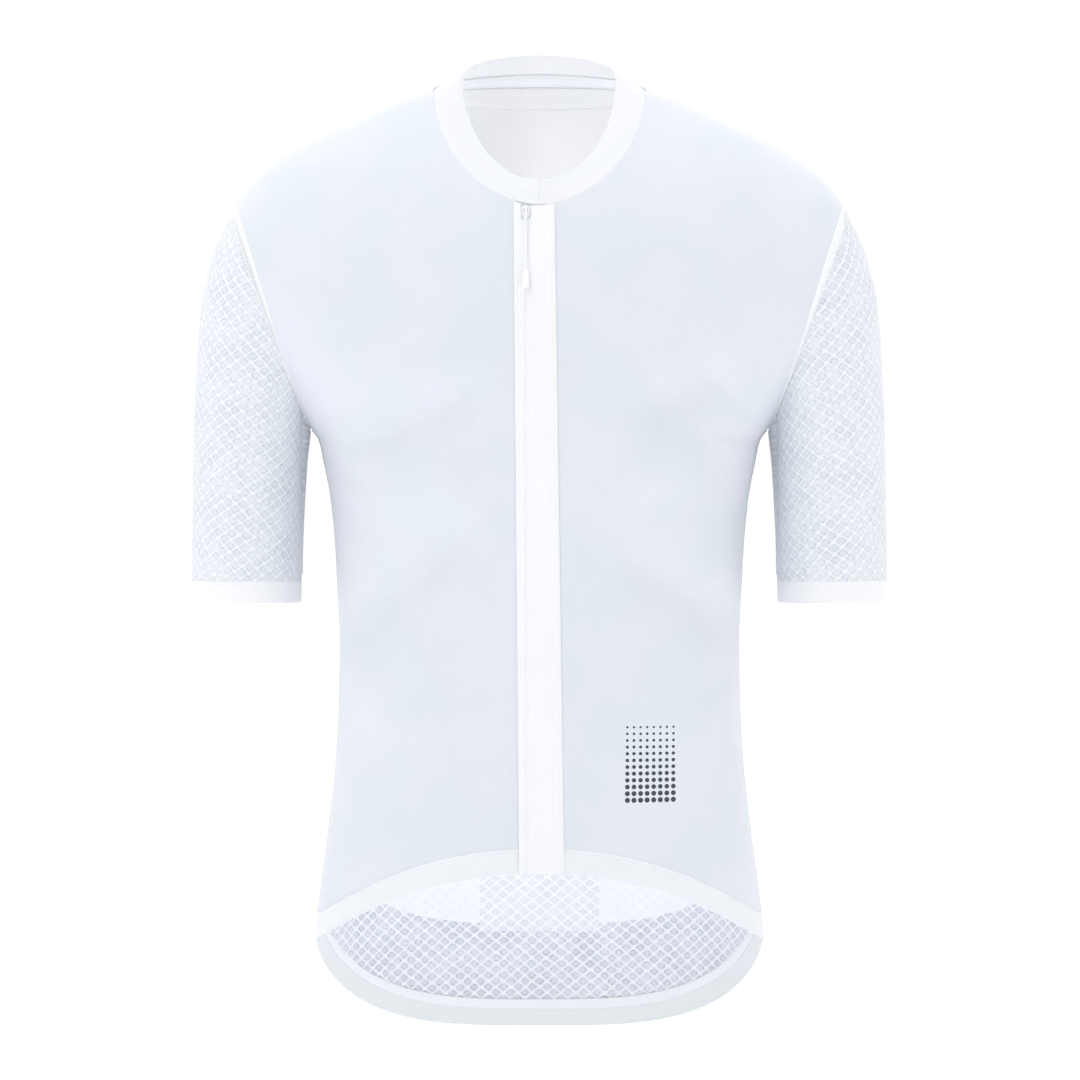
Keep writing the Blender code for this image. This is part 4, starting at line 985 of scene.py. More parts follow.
class Nodes:
    """A material's node tree, written as calls that return sockets."""

    def __init__(self, name, roughness):
        self.look = bpy.data.materials.new(name)
        self.look.use_nodes = True
        self.tree = self.look.node_tree
        self.shader = self.tree.nodes["Principled BSDF"]
        self.shader.inputs["Roughness"].default_value = roughness

    def feed(self, socket, value):
        if isinstance(value, bpy.types.NodeSocket):
            self.tree.links.new(value, socket)
        else:
            socket.default_value = value

    def node(self, kind, settings=None, **inputs):
        node = self.tree.nodes.new(kind)
        for key, value in (settings or {}).items():
            setattr(node, key, value)
        for key, value in inputs.items():
            self.feed(node.inputs[key.replace("_", " ")], value)
        return node

    def math(self, operation, *values, clamp=False):
        node = self.node("ShaderNodeMath", {"operation": operation, "use_clamp": clamp})
        for socket, value in zip(node.inputs, values):
            self.feed(socket, value)
        return node.outputs[0]

    def plus(self, *values, **options):
        return self.math("ADD", *values, **options)

    def minus(self, *values):
        return self.math("SUBTRACT", *values)

    def times(self, *values):
        return self.math("MULTIPLY", *values)

    def over(self, *values):
        return self.math("DIVIDE", *values)

    def spot(self, kind="Object"):
        """The three coordinates of a point of the piece, or with "Normal" those of its normal."""
        place = self.node("ShaderNodeTexCoord").outputs[kind]
        return self.node("ShaderNodeSeparateXYZ", Vector=place).outputs

    def ramp(self, value, low, high, to_low=0.0, to_high=1.0, smooth=True):
        kind = "SMOOTHSTEP" if smooth else "LINEAR"
        node = self.node("ShaderNodeMapRange", {"interpolation_type": kind})
        for socket, number in zip(node.inputs, (value, low, high, to_low, to_high)):
            self.feed(socket, number)
        return node.outputs[0]

    def blend(self, share, low, high):
        node = self.node("ShaderNodeMix", {"data_type": "RGBA"})
        self.feed(node.inputs[0], share)
        self.feed(node.inputs[6], low)
        self.feed(node.inputs[7], high)
        return node.outputs[2]

    def place(self, turn=0.0, scale=(1.0, 1.0)):
        """The weave's place in metres, turned and scaled: its two coordinates and the vector."""
        uv = self.node("ShaderNodeUVMap", {"uv_map": "weave"}).outputs[0]
        mapping = self.node("ShaderNodeMapping", {"vector_type": "POINT"}, Vector=uv)
        mapping.inputs["Rotation"].default_value = (0, 0, turn)
        mapping.inputs["Scale"].default_value = (*scale, 1)
        split = self.node("ShaderNodeSeparateXYZ", Vector=mapping.outputs[0])
        return split.outputs[0], split.outputs[1], mapping.outputs[0]

    def noise(self, vector, scale, detail=2.0):
        node = self.node("ShaderNodeTexNoise", Vector=vector, Scale=scale, Detail=detail)
        return node.outputs[0]

    def wave(self, value):
        return self.math("SINE", self.math("MULTIPLY", value, 2 * math.pi))

    def relief(self, height, depth, before=None):
        node = self.node("ShaderNodeBump", Height=height, Distance=depth)
        if before is not None:
            self.feed(node.inputs["Normal"], before)
        return node.outputs[0]

    def finish(self, colour, normal=None, sheen=0.0):
        self.feed(self.shader.inputs["Base Color"], colour)
        if normal is not None:
            self.feed(self.shader.inputs["Normal"], normal)
        self.shader.inputs["Sheen Weight"].default_value = sheen
        self.shader.inputs["Specular IOR Level"].default_value = 0.25
        return self.look


def knit_look(name, light, dark, pitch=(1.3 * MM, 1.0 * MM), depth=0.016 * MM, roughness=0.8):
    """Jersey knit: fine wales and courses, with a faint cloudiness."""
    look = Nodes(name, roughness)
    u, v, vector = look.place()
    wales = look.wave(look.over(u, pitch[0]))
    courses = look.wave(look.over(v, pitch[1]))
    stitch = look.times(wales, courses)
    clouds = look.noise(vector, 14.0, 3.0)
    tone = look.plus(look.times(stitch, 0.07), clouds)
    colour = look.blend(look.ramp(tone, 0.32, 0.68), dark, light)
    slub = look.relief(look.noise(vector, 170.0, 3.0), 0.25 * MM)
    return look, colour, look.relief(stitch, depth, slub)


def plain_knit(*args, **options):
    look, colour, normal = knit_look(*args, **options)
    return look.finish(colour, normal, sheen=0.25)


def ribbed(name, light, dark, pitch, depth):
    """Elastic tape: fine ribs across its length, and a grain of short threads."""
    look = Nodes(name, 0.72)
    u, _, vector = look.place()
    ribs = look.wave(look.over(u, pitch))
    threads = look.noise(vector, 1400.0)
    height = look.plus(look.times(ribs, 0.5), threads)
    colour = look.blend(look.ramp(height, 0.1, 0.9), dark, light)
    return look.finish(colour, look.relief(height, depth), sheen=0.2)


def behind_pockets(look):
    """How far the pockets' cloth shows through the net: wholly at the sides, partly between."""
    x, _, z = look.spot()
    aside = look.over(look.math("ABSOLUTE", x), POCKET_SIDE[0])
    curve = look.math("POWER", aside, POCKET_SIDE_POWER)
    edge = look.math("MULTIPLY_ADD", curve, POCKET_SIDE[1], POCKET_FOOT[0])
    over_side = look.ramp(look.minus(z, edge), -0.3 * MM, 0.3 * MM)
    over_side = look.times(over_side, look.ramp(aside, 1.0, 0.995))
    half = CENTRE_POCKET_HALF / POCKET_SIDE[0]
    middle = look.ramp(aside, half + 0.005, half)
    over_foot = look.ramp(z, POCKET_FOOT[1], POCKET_FOOT[1] + 0.6 * MM)
    over_middle = look.times(over_foot, middle)
    low = look.math("LESS_THAN", z, POCKET_HEAD)
    inner_face = look.math("LESS_THAN", look.spot("Normal")[1], 0.0)
    low = look.times(low, inner_face)
    side_share = look.times(over_side, look.minus(1.0, middle))
    share = look.math("MULTIPLY_ADD", over_middle, NET_OVER_POCKET, side_share)
    return look.times(share, low)


def net_look(name, rib, cell, deep, rib_edge, covered=None):
    """Warp-knit net: white ribs cross in an X and leave rounded rhombi of thin, holed ground, whose edges
    beside the ribs carry a painted shadow.
    """
    look = Nodes(name, 0.82)
    u, v, vector = look.place()
    sway = look.times(look.minus(look.noise(vector, 60.0), 0.5), 0.34)
    u_turns = look.plus(look.over(u, NET_PITCH[0]), sway)
    v_turns = look.over(v, NET_PITCH[1])
    to_rib = [
        look.math("PINGPONG", look.math(way, u_turns, v_turns), 0.5) for way in ("ADD", "SUBTRACT")
    ]
    near = look.math("SMOOTH_MIN", *to_rib, 0.30)
    open_share = look.ramp(near, *rib_edge)
    ground = look.times(*(look.wave(look.over(at, pitch)) for at, pitch in zip((u, v), HOLE_PITCH)))
    holes = look.ramp(look.plus(ground, look.noise(vector, 700.0)), 0.75, 1.25)
    shade = look.times(look.ramp(look.noise(vector, 45.0), 0.35, 0.7), 0.3)
    # Painted shadow of the ribs: the ground darkens near each rib, in uneven patches.
    foot = look.ramp(near, rib_edge[1] + 0.11, rib_edge[1] - 0.02)
    foot = look.times(foot, look.ramp(look.noise(vector, 260.0), 0.38, 0.68, 0.05, 0.75))
    grain = look.times(look.times(holes, 0.4), look.noise(vector, 420.0))
    # Share of the grey: grain of the holes, random tone and the painted rib shadow.
    dark = look.plus(look.plus(grain, shade), foot, clamp=True)
    grey = look.blend(dark, cell, deep)
    strands = look.ramp(look.noise(vector, 950.0), 0.3, 0.7)
    white = look.blend(strands, tuple(0.93 * c for c in rib[:3]) + (1,), rib)
    colour = look.blend(open_share, white, grey)
    rise = NET_RELIEF
    if covered:
        share = covered(look)
        colour = look.blend(share, colour, POCKET_BEHIND)
        rise = look.times(look.minus(1.0, share), NET_RELIEF)
    coarse = look.relief(look.minus(1.0, look.ramp(near, -0.04, 0.2)), rise)
    grain = look.minus(strands, look.times(holes, open_share))
    fine = look.relief(grain, 0.12 * MM, coarse)
    return look.finish(colour, fine, sheen=0.2)


def dotted_knit(name, *colours):
    """The left front's knit, with a block of generic reflective dots that thin out upwards."""
    look, colour, normal = knit_look(name, *colours)
    x, y, z = look.spot()
    across = look.over(look.minus(x, DOTS_X[0]), DOT_PITCH)
    up = look.over(look.minus(z, DOTS_Z[0]), DOT_PITCH)
    off = [look.minus(look.math("FRACT", turns), 0.5) for turns in (across, up)]
    away = look.math("SQRT", look.plus(*(look.times(d, d) for d in off)))
    radius = look.ramp(up, 0.0, (DOTS_Z[1] - DOTS_Z[0]) / DOT_PITCH, 0.40, 0.17, smooth=False)
    ink = look.ramp(look.minus(radius, away), -0.02, 0.02)
    for value, (low, high) in ((x, DOTS_X), (z, DOTS_Z)):
        ink = look.times(ink, look.math("GREATER_THAN", value, low))
        ink = look.times(ink, look.math("LESS_THAN", value, high))
    ink = look.times(ink, look.math("LESS_THAN", y, 0.0))
    return look.finish(look.blend(ink, colour, DOT_GREY), normal, sheen=0.25)


def plastic_look(name, colour):
    look = Nodes(name, 0.42)
    place = look.node("ShaderNodeTexCoord").outputs["Object"]
    grain = look.noise(place, 900.0)
    colour = look.blend(look.ramp(grain, 0.3, 0.7), tuple(0.95 * c for c in colour[:3]) + (1,), colour)
    return look.finish(colour, look.relief(grain, 0.04 * MM))


KNIT = plain_knit("knit", *KNIT_COLOURS)
YOKE_KNIT = plain_knit("yoke_knit", (0.735, 0.735, 0.765, 1), (0.705, 0.72, 0.74, 1))
DOTTED = dotted_knit("knit_dots", *KNIT_COLOURS)
HEM = plain_knit("hem", (0.77, 0.79, 0.83, 1), (0.755, 0.775, 0.815, 1), (1.6 * MM, 1.1 * MM))
COLLAR = plain_knit("collar", (0.76, 0.77, 0.80, 1), (0.745, 0.76, 0.79, 1), (1.6 * MM, 1.1 * MM))
TRIM = plain_knit("trim", (0.835, 0.845, 0.87, 1), (0.82, 0.83, 0.855, 1), (1.6 * MM, 1.1 * MM))
GRIPPER = ribbed("gripper", (0.71, 0.74, 0.76, 1), (0.675, 0.705, 0.73, 1), 1.8 * MM, 0.03 * MM)
TAPE_LOOK = ribbed("tape", (0.77, 0.785, 0.82, 1), (0.73, 0.745, 0.785, 1), 1.4 * MM, 0.03 * MM)
SEAM_LOOK = ribbed("seam", (0.95, 0.965, 1.0, 1), (0.92, 0.935, 0.975, 1), 1.4 * MM, 0.03 * MM)
THREAD_LOOK = plastic_look("thread", (0.91, 0.92, 0.945, 1))
# Net colours: rib, cell, and the grey that the painted rib shadow and random tone darken the cells
# towards.
NET_COLOURS = (0.83, 0.85, 0.91, 1), (0.69, 0.715, 0.79, 1), (0.42, 0.455, 0.53, 1)
SLEEVE_NET_COLOURS = (0.87, 0.905, 0.955, 1), (0.79, 0.825, 0.88, 1), (0.57, 0.61, 0.68, 1)
NET = net_look("net", *NET_COLOURS, (0.07, 0.20))
BACK_NET = net_look("back_net", *NET_COLOURS, (0.07, 0.20), behind_pockets)
SLEEVE_NET = net_look("sleeve_net", *SLEEVE_NET_COLOURS, (0.05, 0.18))
PLASTIC = plastic_look("zip_plastic", (0.88, 0.89, 0.92, 1))


# ---------------------------------------------------------------- seams and stitching


def surface_normals(sheet):
    normals = unit(np.cross(np.gradient(sheet.points, axis=1), np.gradient(sheet.points, axis=0)))
    return normals * np.sign(np.sum(normals * sheet.out))


def edge_lines(grid, edge):
    """The lines of a grid that leave one of its edges, each from the edge inwards."""
    if edge in ("bottom", "top"):
        grid = grid.transpose(1, 0, 2)
    return grid[:, ::-1] if edge in ("top", "right") else grid


def off_edge(sheet, edge, distances):
    """Lines of points along an edge at distances from it, with their normals. A distance is one
    number, or one for each place along the edge."""
    lines = edge_lines(sheet.points, edge)
    normals = edge_lines(surface_normals(sheet), edge)
    run = run_length(lines, 1)
    found = []
    for distance in distances:
        distance = np.broadcast_to(distance, len(run))
        low = np.clip((run <= distance[:, None]).sum(axis=1) - 1, 0, run.shape[1] - 2)
        each = np.arange(len(low))
        share = ((distance - run[each, low]) / (run[each, low + 1] - run[each, low]))[:, None]
        spots = [(1 - share) * g[each, low] + share * g[each, low + 1] for g in (lines, normals)]
        found.append((spots[0], unit(spots[1])))
    return found


def flatlock(first, second):
    """The raised ribbon over the seam between two edges whose lines match one another. Each side
    is a list of lines at the shares in STATIONS of its reach, as off_edge gives them."""
    lines = first[::-1] + second
    lift = np.array([*SEAM_RISE[::-1], *SEAM_RISE])[:, None, None] * FLATLOCK_RISE
    points, normals = (np.stack(values) for values in zip(*lines))
    return Sheet(points + normals * lift, normals)


def distances(reach):
    """Distances from a seam at which the lines of its tape run."""
    return [reach * share for share in STATIONS]


class Stitching:
    """Threads of one piece: tubes of four sides along lines of points."""

    def __init__(self):
        self.points, self.faces, self.count = [], [], 0

    def tube(self, points, normals, radius=THREAD):
        along = unit(np.gradient(points, axis=0))
        side = unit(np.cross(along, normals))
        up = np.cross(side, along)
        ring = np.stack([points + d * radius for d in (side, up, -side, -up)], axis=1)
        n = len(points)
        at = self.count + 4 * np.arange(n - 1)[:, None]
        j, k = np.arange(4), (np.arange(4) + 1) % 4
        quads = np.stack([at + j, at + k, at + 4 + k, at + 4 + j], axis=-1).reshape(-1, 4)
        self.faces += quads.tolist()
        last = self.count + 4 * (n - 1)
        self.faces += [[self.count + i for i in (0, 1, 2, 3)], [last + i for i in (3, 2, 1, 0)]]
        self.points.append(ring.reshape(-1, 3))
        self.count += 4 * n

    @staticmethod
    def spaced(line, spacing):
        """A line of points and normals, read at even steps along it."""
        points, normals = line
        run = run_length(points[None], 1)[0]
        steps = max(int(round(run[-1] / spacing)), 2)
        at = np.linspace(0, run[-1], steps + 1)
        return read_along(points, run, at), unit(read_along(normals, run, at))

    def needle(self, line, lift=0.0, stitch=STITCH):
        """A line of lockstitch: the thread dips into the cloth between stitches."""
        points, normals = self.spaced(line, stitch / 4)
        dip = np.array([-1.6, 0.3, 0.6, 0.3])[np.arange(len(points)) % 4] * THREAD
        self.tube(points + normals * (lift + dip[:, None]), normals)

    def zigzag(self, line_a, line_b, middle, lift=0.0, stitch=STITCH):
        """A thread that crosses from one line to the other and back in each stitch."""
        a, b, m = (self.spaced(line, stitch / 4) for line in (line_a, line_b, middle))
        n = min(len(a[0]), len(b[0]), len(m[0]))
        step = np.arange(n) % 4
        on_a, on_b = (step == 0)[:, None], (step == 2)[:, None]
        points, normals = (
            np.where(on_a, a[k][:n], np.where(on_b, b[k][:n], m[k][:n])) for k in (0, 1)
        )
        self.tube(points + normals * (lift + 0.6 * THREAD), unit(normals))

    def over(self, strip):
        """The stitching of a flatlock strip: two needle lines and the thread between them."""
        rows = strip.points.shape[0]
        low, high, middle = (
            (strip.points[row], strip.out[row]) for row in (1, rows - 2, rows // 2)
        )
        self.zigzag(low, high, middle)
        self.needle(low, 0.5 * THREAD)
        self.needle(high, 0.5 * THREAD)

    def make(self, name):
        piece = add_mesh(name, np.vstack(self.points), self.faces, smooth=80)
        piece.data.materials.append(THREAD_LOOK)
        ride_and_wait(piece)
        return piece


pieces_on = {}


def ride_and_wait(piece, body="garment"):
    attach(piece, body)


def add_strip(name, strip, cloth_piece, stitched=True, look=None, hand=1):
    """Makes a seam's ribbon and its threads, which go with a piece of cloth."""
    strip = on_hand(strip, hand)
    ribbon = shell(name, strip, look or TAPE_LOOK, (0.0, -0.3 * MM), rims=(0, 0))
    ride_and_wait(ribbon)
    made = [ribbon]
    if stitched:
        threads = Stitching()
        threads.over(strip)
        made.append(threads.make(name + "_thread"))
    pieces_on.setdefault(cloth_piece, []).extend(made)


def add_stitches(name, cloth_piece, lines, hand=1, lift=0.0, stitch=STITCH):
    threads = Stitching()
    flip = np.array([hand, 1.0, 1.0])
    for points, normals in lines:
        threads.needle((points * flip, normals * flip), lift, stitch)
    pieces_on.setdefault(cloth_piece, []).append(threads.make(name))


def cut_lines(lines, keep):
    return [(points[keep], normals[keep]) for points, normals in lines]


def keyed(lines, key, at):
    """Lines of points and normals, read where the key along their edge has the values `at`."""
    order = np.argsort(key)
    return [
        (read_along(points[order], key[order], at), unit(read_along(normals[order], key[order], at)))
        for points, normals in lines
    ]


def by_level(sheet, edge, levels):
    key = edge_lines(sheet.points, edge)[:, 0, 2]
    return keyed(off_edge(sheet, edge, distances(FLATLOCK)), key, levels)


def by_x(sheet, edge, x):
    key = edge_lines(sheet.points, edge)[:, 0, 0]
    return keyed(off_edge(sheet, edge, distances(FLATLOCK)), key, x)


def armhole_reach(ends, turn):
    """The armhole tape's reach at turns round the sleeve; it narrows to the underarm."""
    height = np.clip(((1 + np.cos(turn)) / 2 - 0.1) / 0.7, 0, 1)
    return distances(ends[0] + (ends[1] - ends[0]) * height**2 * (3 - 2 * height))


def side_turns(under):
    """Turns round the armhole at a side edge's rows, of which the first ones lie under the arm."""
    return math.pi * (1 - np.clip(np.arange(-under, UPPER_ROWS + 1) / UPPER_ROWS, 0, 1))


def seam_ends(first, first_edge, second, second_edge):
    """The lines beside a seam, on both of its sheets."""
    sides = ((first, first_edge), (second, second_edge))
    return [off_edge(sheet, edge, distances(FLATLOCK)) for sheet, edge in sides]


def torso_seams(fronts, back, yoke, bands, tail):
    under = {side: LOWER_ROWS[side] for side in (FRONT, BACK)}
    whole = Sheet(*(
        np.vstack([getattr(back, key), getattr(yoke, key)[1:]]) for key in ("points", "out", "weave")
    ))
    for hand, side in ((-1, "right"), (1, "left")):
        front = on_hand(fronts[hand], hand)
        behind, yoke_side = on_hand(whole, hand), on_hand(yoke, hand)
        band = on_hand(bands[hand], hand)
        sleeve = sleeve_sheet()
        round_front, round_back = (
            off_edge(sheet, "right", armhole_reach(ARMHOLE_BODY, side_turns(under[part])))
            for sheet, part in ((front, FRONT), (behind, BACK))
        )
        body = [
            (np.vstack([f[0][under[FRONT] :], b[0][under[BACK] :][-2::-1]]),
             np.vstack([f[1][under[FRONT] :], b[1][under[BACK] :][-2::-1]]))
            for f, b in zip(round_front, round_back)
        ]
        arm = off_edge(sleeve, "bottom", armhole_reach(ARMHOLE_SLEEVE, sleeve_turn()))
        strip = flatlock(body, arm)
        add_strip("armhole_seam_" + side, strip, "sleeve_" + side, look=SEAM_LOOK, hand=hand)
        low = max(front.points[0, -1, 2], behind.points[0, -1, 2]) + MM
        levels = np.linspace(low, UNDERARM[1] - 2 * MM, 180)
        strip = flatlock(by_level(front, "right", levels), by_level(behind, "right", levels))
        add_strip("side_seam_" + side, strip, "front_" + side, hand=hand)
        x = np.linspace(NECK_HALF_WIDTH + 1.0 * MM, SHOULDER_TIP[0] - 1.5 * MM, 96)
        strip = flatlock(by_x(front, "top", x), by_x(yoke_side, "top", x))
        add_strip(
            "shoulder_seam_" + side, strip, "front_" + side, stitched=False, look=KNIT, hand=hand
        )
        level = np.linspace(0.04, 0.97, 90)
        inner = [off_edge(sleeve, edge, distances(FLATLOCK * 0.6)) for edge in ("left", "right")]
        rows = (level * SLEEVE_ROWS).astype(int)
        strip = flatlock(*(cut_lines(lines, rows) for lines in inner))
        add_strip("underarm_seam_" + side, strip, "sleeve_" + side, hand=hand)
        lines = off_edge(band, "top", (1.2 * MM, 4.0 * MM))
        add_stitches("front_hem_stitch_" + side, "front_hem_" + side, lines, hand)
    ends = seam_ends(back, "top", yoke, "bottom")
    add_strip("yoke_seam", flatlock(*ends), "back_yoke")
    ends = seam_ends(back, "bottom", tail, "top")
    add_strip("tail_seam", flatlock(*ends), "tail_hem")
    lines = ends[0][::-1] + ends[1]
    depth = np.array([0.9, 1, 1, 1, 1, 1, 1, 0.9])[:, None, None] * (BAND + 0.5 * MM)
    inside = Sheet(*(np.stack(values) for values in zip(*lines)))
    inside = Sheet(inside.points - inside.out * depth, inside.out, inside.weave)
    ribbon = shell("tail_tape", inside, TAPE_LOOK, (0.3 * MM, -0.2 * MM), rims=(0.2, 0.2))
    ride_and_wait(ribbon)
    pieces_on.setdefault("back", []).append(ribbon)


# ---------------------------------------------------------------- zip


def rounded_box(size, middle, edge, segments=3):
    """Points and faces of a box with round edges."""
    shape = bmesh.new()
    bmesh.ops.create_cube(shape, size=1.0, matrix=Matrix.Translation(middle) @ Matrix.Diagonal((*size, 1)))
    bmesh.ops.bevel(
        shape, geom=shape.edges[:], offset=edge, segments=segments, affect="EDGES", clamp_overlap=True
    )
    shape.verts.index_update()
    points = np.array([vertex.co[:] for vertex in shape.verts])
    faces = [[vertex.index for vertex in face.verts] for face in shape.faces]
    shape.free()
    return points, faces


def turned_shape(rings, sides=20):
    """A closed shape turned round the x axis, from pairs of x and radius."""
    turn = np.linspace(0, 2 * math.pi, sides, endpoint=False)
    points = np.zeros((len(rings), sides, 3))
    for i, (at, radius) in enumerate(rings):
        points[i, :, 0] = at
        points[i, :, 1] = radius * np.cos(turn)
        points[i, :, 2] = radius * np.sin(turn)
    n, j = len(rings), np.arange(sides)
    k = (j + 1) % sides
    faces = []
    for i in range(n):
        a, b = i * sides, (i + 1) % n * sides
        faces += np.stack([a + j, a + k, b + k, b + j], axis=-1).tolist()
    return points.reshape(-1, 3), faces


def joined(parts):
    points, faces, count = [], [], 0
    for part_points, part_faces in parts:
        points.append(part_points)
        faces += [[index + count for index in face] for face in part_faces]
        count += len(part_points)
    return np.vstack(points), faces


def placed(points, matrix):
    turn, shift = np.array(matrix.to_3x3()), np.array(matrix.translation)
    return points @ turn.T + shift


def slider_frame():
    level = ZIP_TOP + SEAM + SLIDER_LENGTH / 2
    around = np.array([-SLIDER_LENGTH / 2, 0, SLIDER_LENGTH / 2])
    spot = on_torso(pair(ZIP_X + around[None], level + around[:, None]), FRONT)
    lean = math.atan2(spot.out[1, 1, 2], -spot.out[1, 1, 1])
    return Matrix.Translation(Vector(spot.points[1, 1])) @ Matrix.Rotation(-lean, 4, "X")


def hardware(name, node, parts, matrix, body, look):
    points, faces = joined(parts)
    piece = add_mesh(name, placed(points, matrix), faces, smooth=40)
    piece.data.materials.append(look)
    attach(piece, body)
    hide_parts(node)
    return piece


def make_slider():
    """Slider: a waisted plate with rolled edges over the teeth, a bridge with two cheeks, a pin."""
    parts = [
        rounded_box(np.array(size) * MM, np.array(middle) * MM, edge * MM)
        for size, middle, edge in SLIDER_PARTS
    ]
    pin = turned_shape([(x * MM, radius * MM) for x, radius in PIN_OUTLINE])
    parts.append((pin[0] + (0, -PIN_OUT, PIN_UP), pin[1]))
    return hardware("slider", "zip_slider", parts, slider_frame(), "garment", PLASTIC)


def grip_shape(top):
    """The pull's flat grip, which widens to its foot and has ribs across its middle."""
    width, depth, length = GRIP
    steps = np.linspace(0.005, 0.995, GRIP_STEPS)
    grooves = (np.sin(steps * 2 * math.pi * 7) > 0.2) * (steps > 0.25) * (steps < 0.88)
    turn = np.linspace(0, 2 * math.pi, GRIP_SIDES, endpoint=False)
    rings = []
    for share, rib in zip(steps, 1 - 0.07 * grooves):
        wide = np.interp(share, *zip(*GRIP_OUTLINE)) * width / 2 * rib
        deep = min(1.0, 0.6 + 2 * share, 0.55 + 3 * (1 - share)) * depth / 2 * rib
        x = np.sign(np.cos(turn)) * np.abs(np.cos(turn)) ** 0.6 * wide
        y = np.sign(np.sin(turn)) * np.abs(np.sin(turn)) ** 0.6 * deep
        rings.append(np.stack([x, y, np.full(GRIP_SIDES, top - length * share)], axis=-1))
    j = np.arange(GRIP_SIDES)
    k = (j + 1) % GRIP_SIDES
    faces = []
    for a in range(0, (GRIP_STEPS - 1) * GRIP_SIDES, GRIP_SIDES):
        b = a + GRIP_SIDES
        faces += np.stack([a + j, a + k, b + k, b + j], axis=-1).tolist()
    faces += [j.tolist(), ((GRIP_STEPS - 1) * GRIP_SIDES + j)[::-1].tolist()]
    return np.vstack(rings), faces


def make_pull():
    """Pull: an eye round the pin, two thin cords side by side and a ribbed, tapered grip."""
    turns = np.linspace(0, 2 * math.pi, 13)[:-1]
    ring = [(0.9 * math.cos(a) * MM, (1.18 + 0.33 * math.sin(a)) * MM) for a in turns]
    parts = [turned_shape(ring, 24)]
    top = JOIN - EYE_RADIUS
    grip_top = top - CORD_LENGTH + 2 * JOIN
    level = np.linspace(top + 0.3 * MM, grip_top - 2 * MM, CORD_POINTS)
    t = np.linspace(0, 1, CORD_POINTS)
    for side in (-1, 1):
        x = side * (0.5 + 0.1 * np.sin(9 * t)) * MM
        path = np.stack([x, 0.06 * np.sin(6 * t + side) * MM, level], axis=-1)
        cord = Stitching()
        cord.tube(path, np.tile((0.0, -1.0, 0.0), (CORD_POINTS, 1)), CORD_RADIUS)
        parts.append((np.vstack(cord.points), cord.faces))
    parts.append(grip_shape(grip_top))
    pin = slider_frame() @ Matrix.Translation((0, -PIN_OUT, PIN_UP))
    return hardware("pull", "zip_pull", parts, pin @ Matrix.Rotation(PULL_LEAN, 4, "X"), "pull", PLASTIC)


def make_teeth():
    """The closed chain of the zip: two rows of moulded teeth that mesh in the middle."""
    line = along_zip(MM)
    points, outs = line.points[:, 4], unit(line.out[:, 4])
    run = run_length(points[None], 1)[0]
    size = (1.9 * MM, 1.5 * MM, 0.8 * MM)
    box_points, box_faces = rounded_box(size, (0.65 * MM, 0, 0), 0.25 * MM, 1)
    parts = []
    for index, at in enumerate(np.arange(1 * MM, run[-1] - 1 * MM, TOOTH_PITCH)):
        spot, out = read_along(points, run, at), unit(read_along(outs, run, at))
        across = np.array([1.0 if index % 2 else -1.0, 0.0, 0.0])
        up = unit(np.cross(out, (1.0, 0.0, 0.0)))
        frame_axes = np.stack([across, -out, up])
        parts.append((box_points @ frame_axes + spot - out * 1.15 * MM, box_faces))
    return hardware("teeth", "zip_chain", parts, Matrix.Identity(4), "garment", PLASTIC)


# ---------------------------------------------------------------- the jersey

SLOT_OF = {
    "knit": ("front_right", "front_left", "back_yoke", "neck_facing", "pocket_right", "pocket_left"),
    "mesh_knit": ("sleeve_right", "sleeve_left", "back", "pocket_centre"),
    "gripper": ("tail_hem",),
    "zip_tape": ("zip_tape",),
}
SLOT_OF = {node: slot for slot, nodes in SLOT_OF.items() for node in nodes}


def piece_of_cloth(node, sheet, look, heights, rests_on, **shape):
    piece = shell(node + "_cloth", sheet, look, heights, **shape)
    ride_and_wait(piece)
    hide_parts(node)
    cut_size(sheet)


def make_torso():
    fronts = {hand: front_panel(hand) for hand in (-1, 1)}
    back, yoke = back_and_yoke()
    piece_of_cloth("front_right", fronts[-1], KNIT, WALL, ["back", "back_yoke"])
    piece_of_cloth("front_left", fronts[1], DOTTED, WALL, ["back", "back_yoke"])
    piece_of_cloth("back", back, BACK_NET, WALL, ["back_yoke"])
    piece_of_cloth("back_yoke", yoke, YOKE_KNIT, WALL, ["front_right", "front_left"])
    return fronts, back, yoke


def make_hems():
    bands = {-1: front_band(-1), 1: front_band(1)}
    piece_of_cloth("front_hem_right", bands[-1], HEM, BAND_WALL, ["front_right"])
    piece_of_cloth("front_hem_left", bands[1], HEM, BAND_WALL, ["front_left"])
    tail = tail_band()
    piece_of_cloth("tail_hem", tail, GRIPPER, BAND_WALL, ["back"])
    return bands, tail


def inner_face(sheet, height):
    return Sheet(sheet.points + sheet.out * height, -sheet.out)


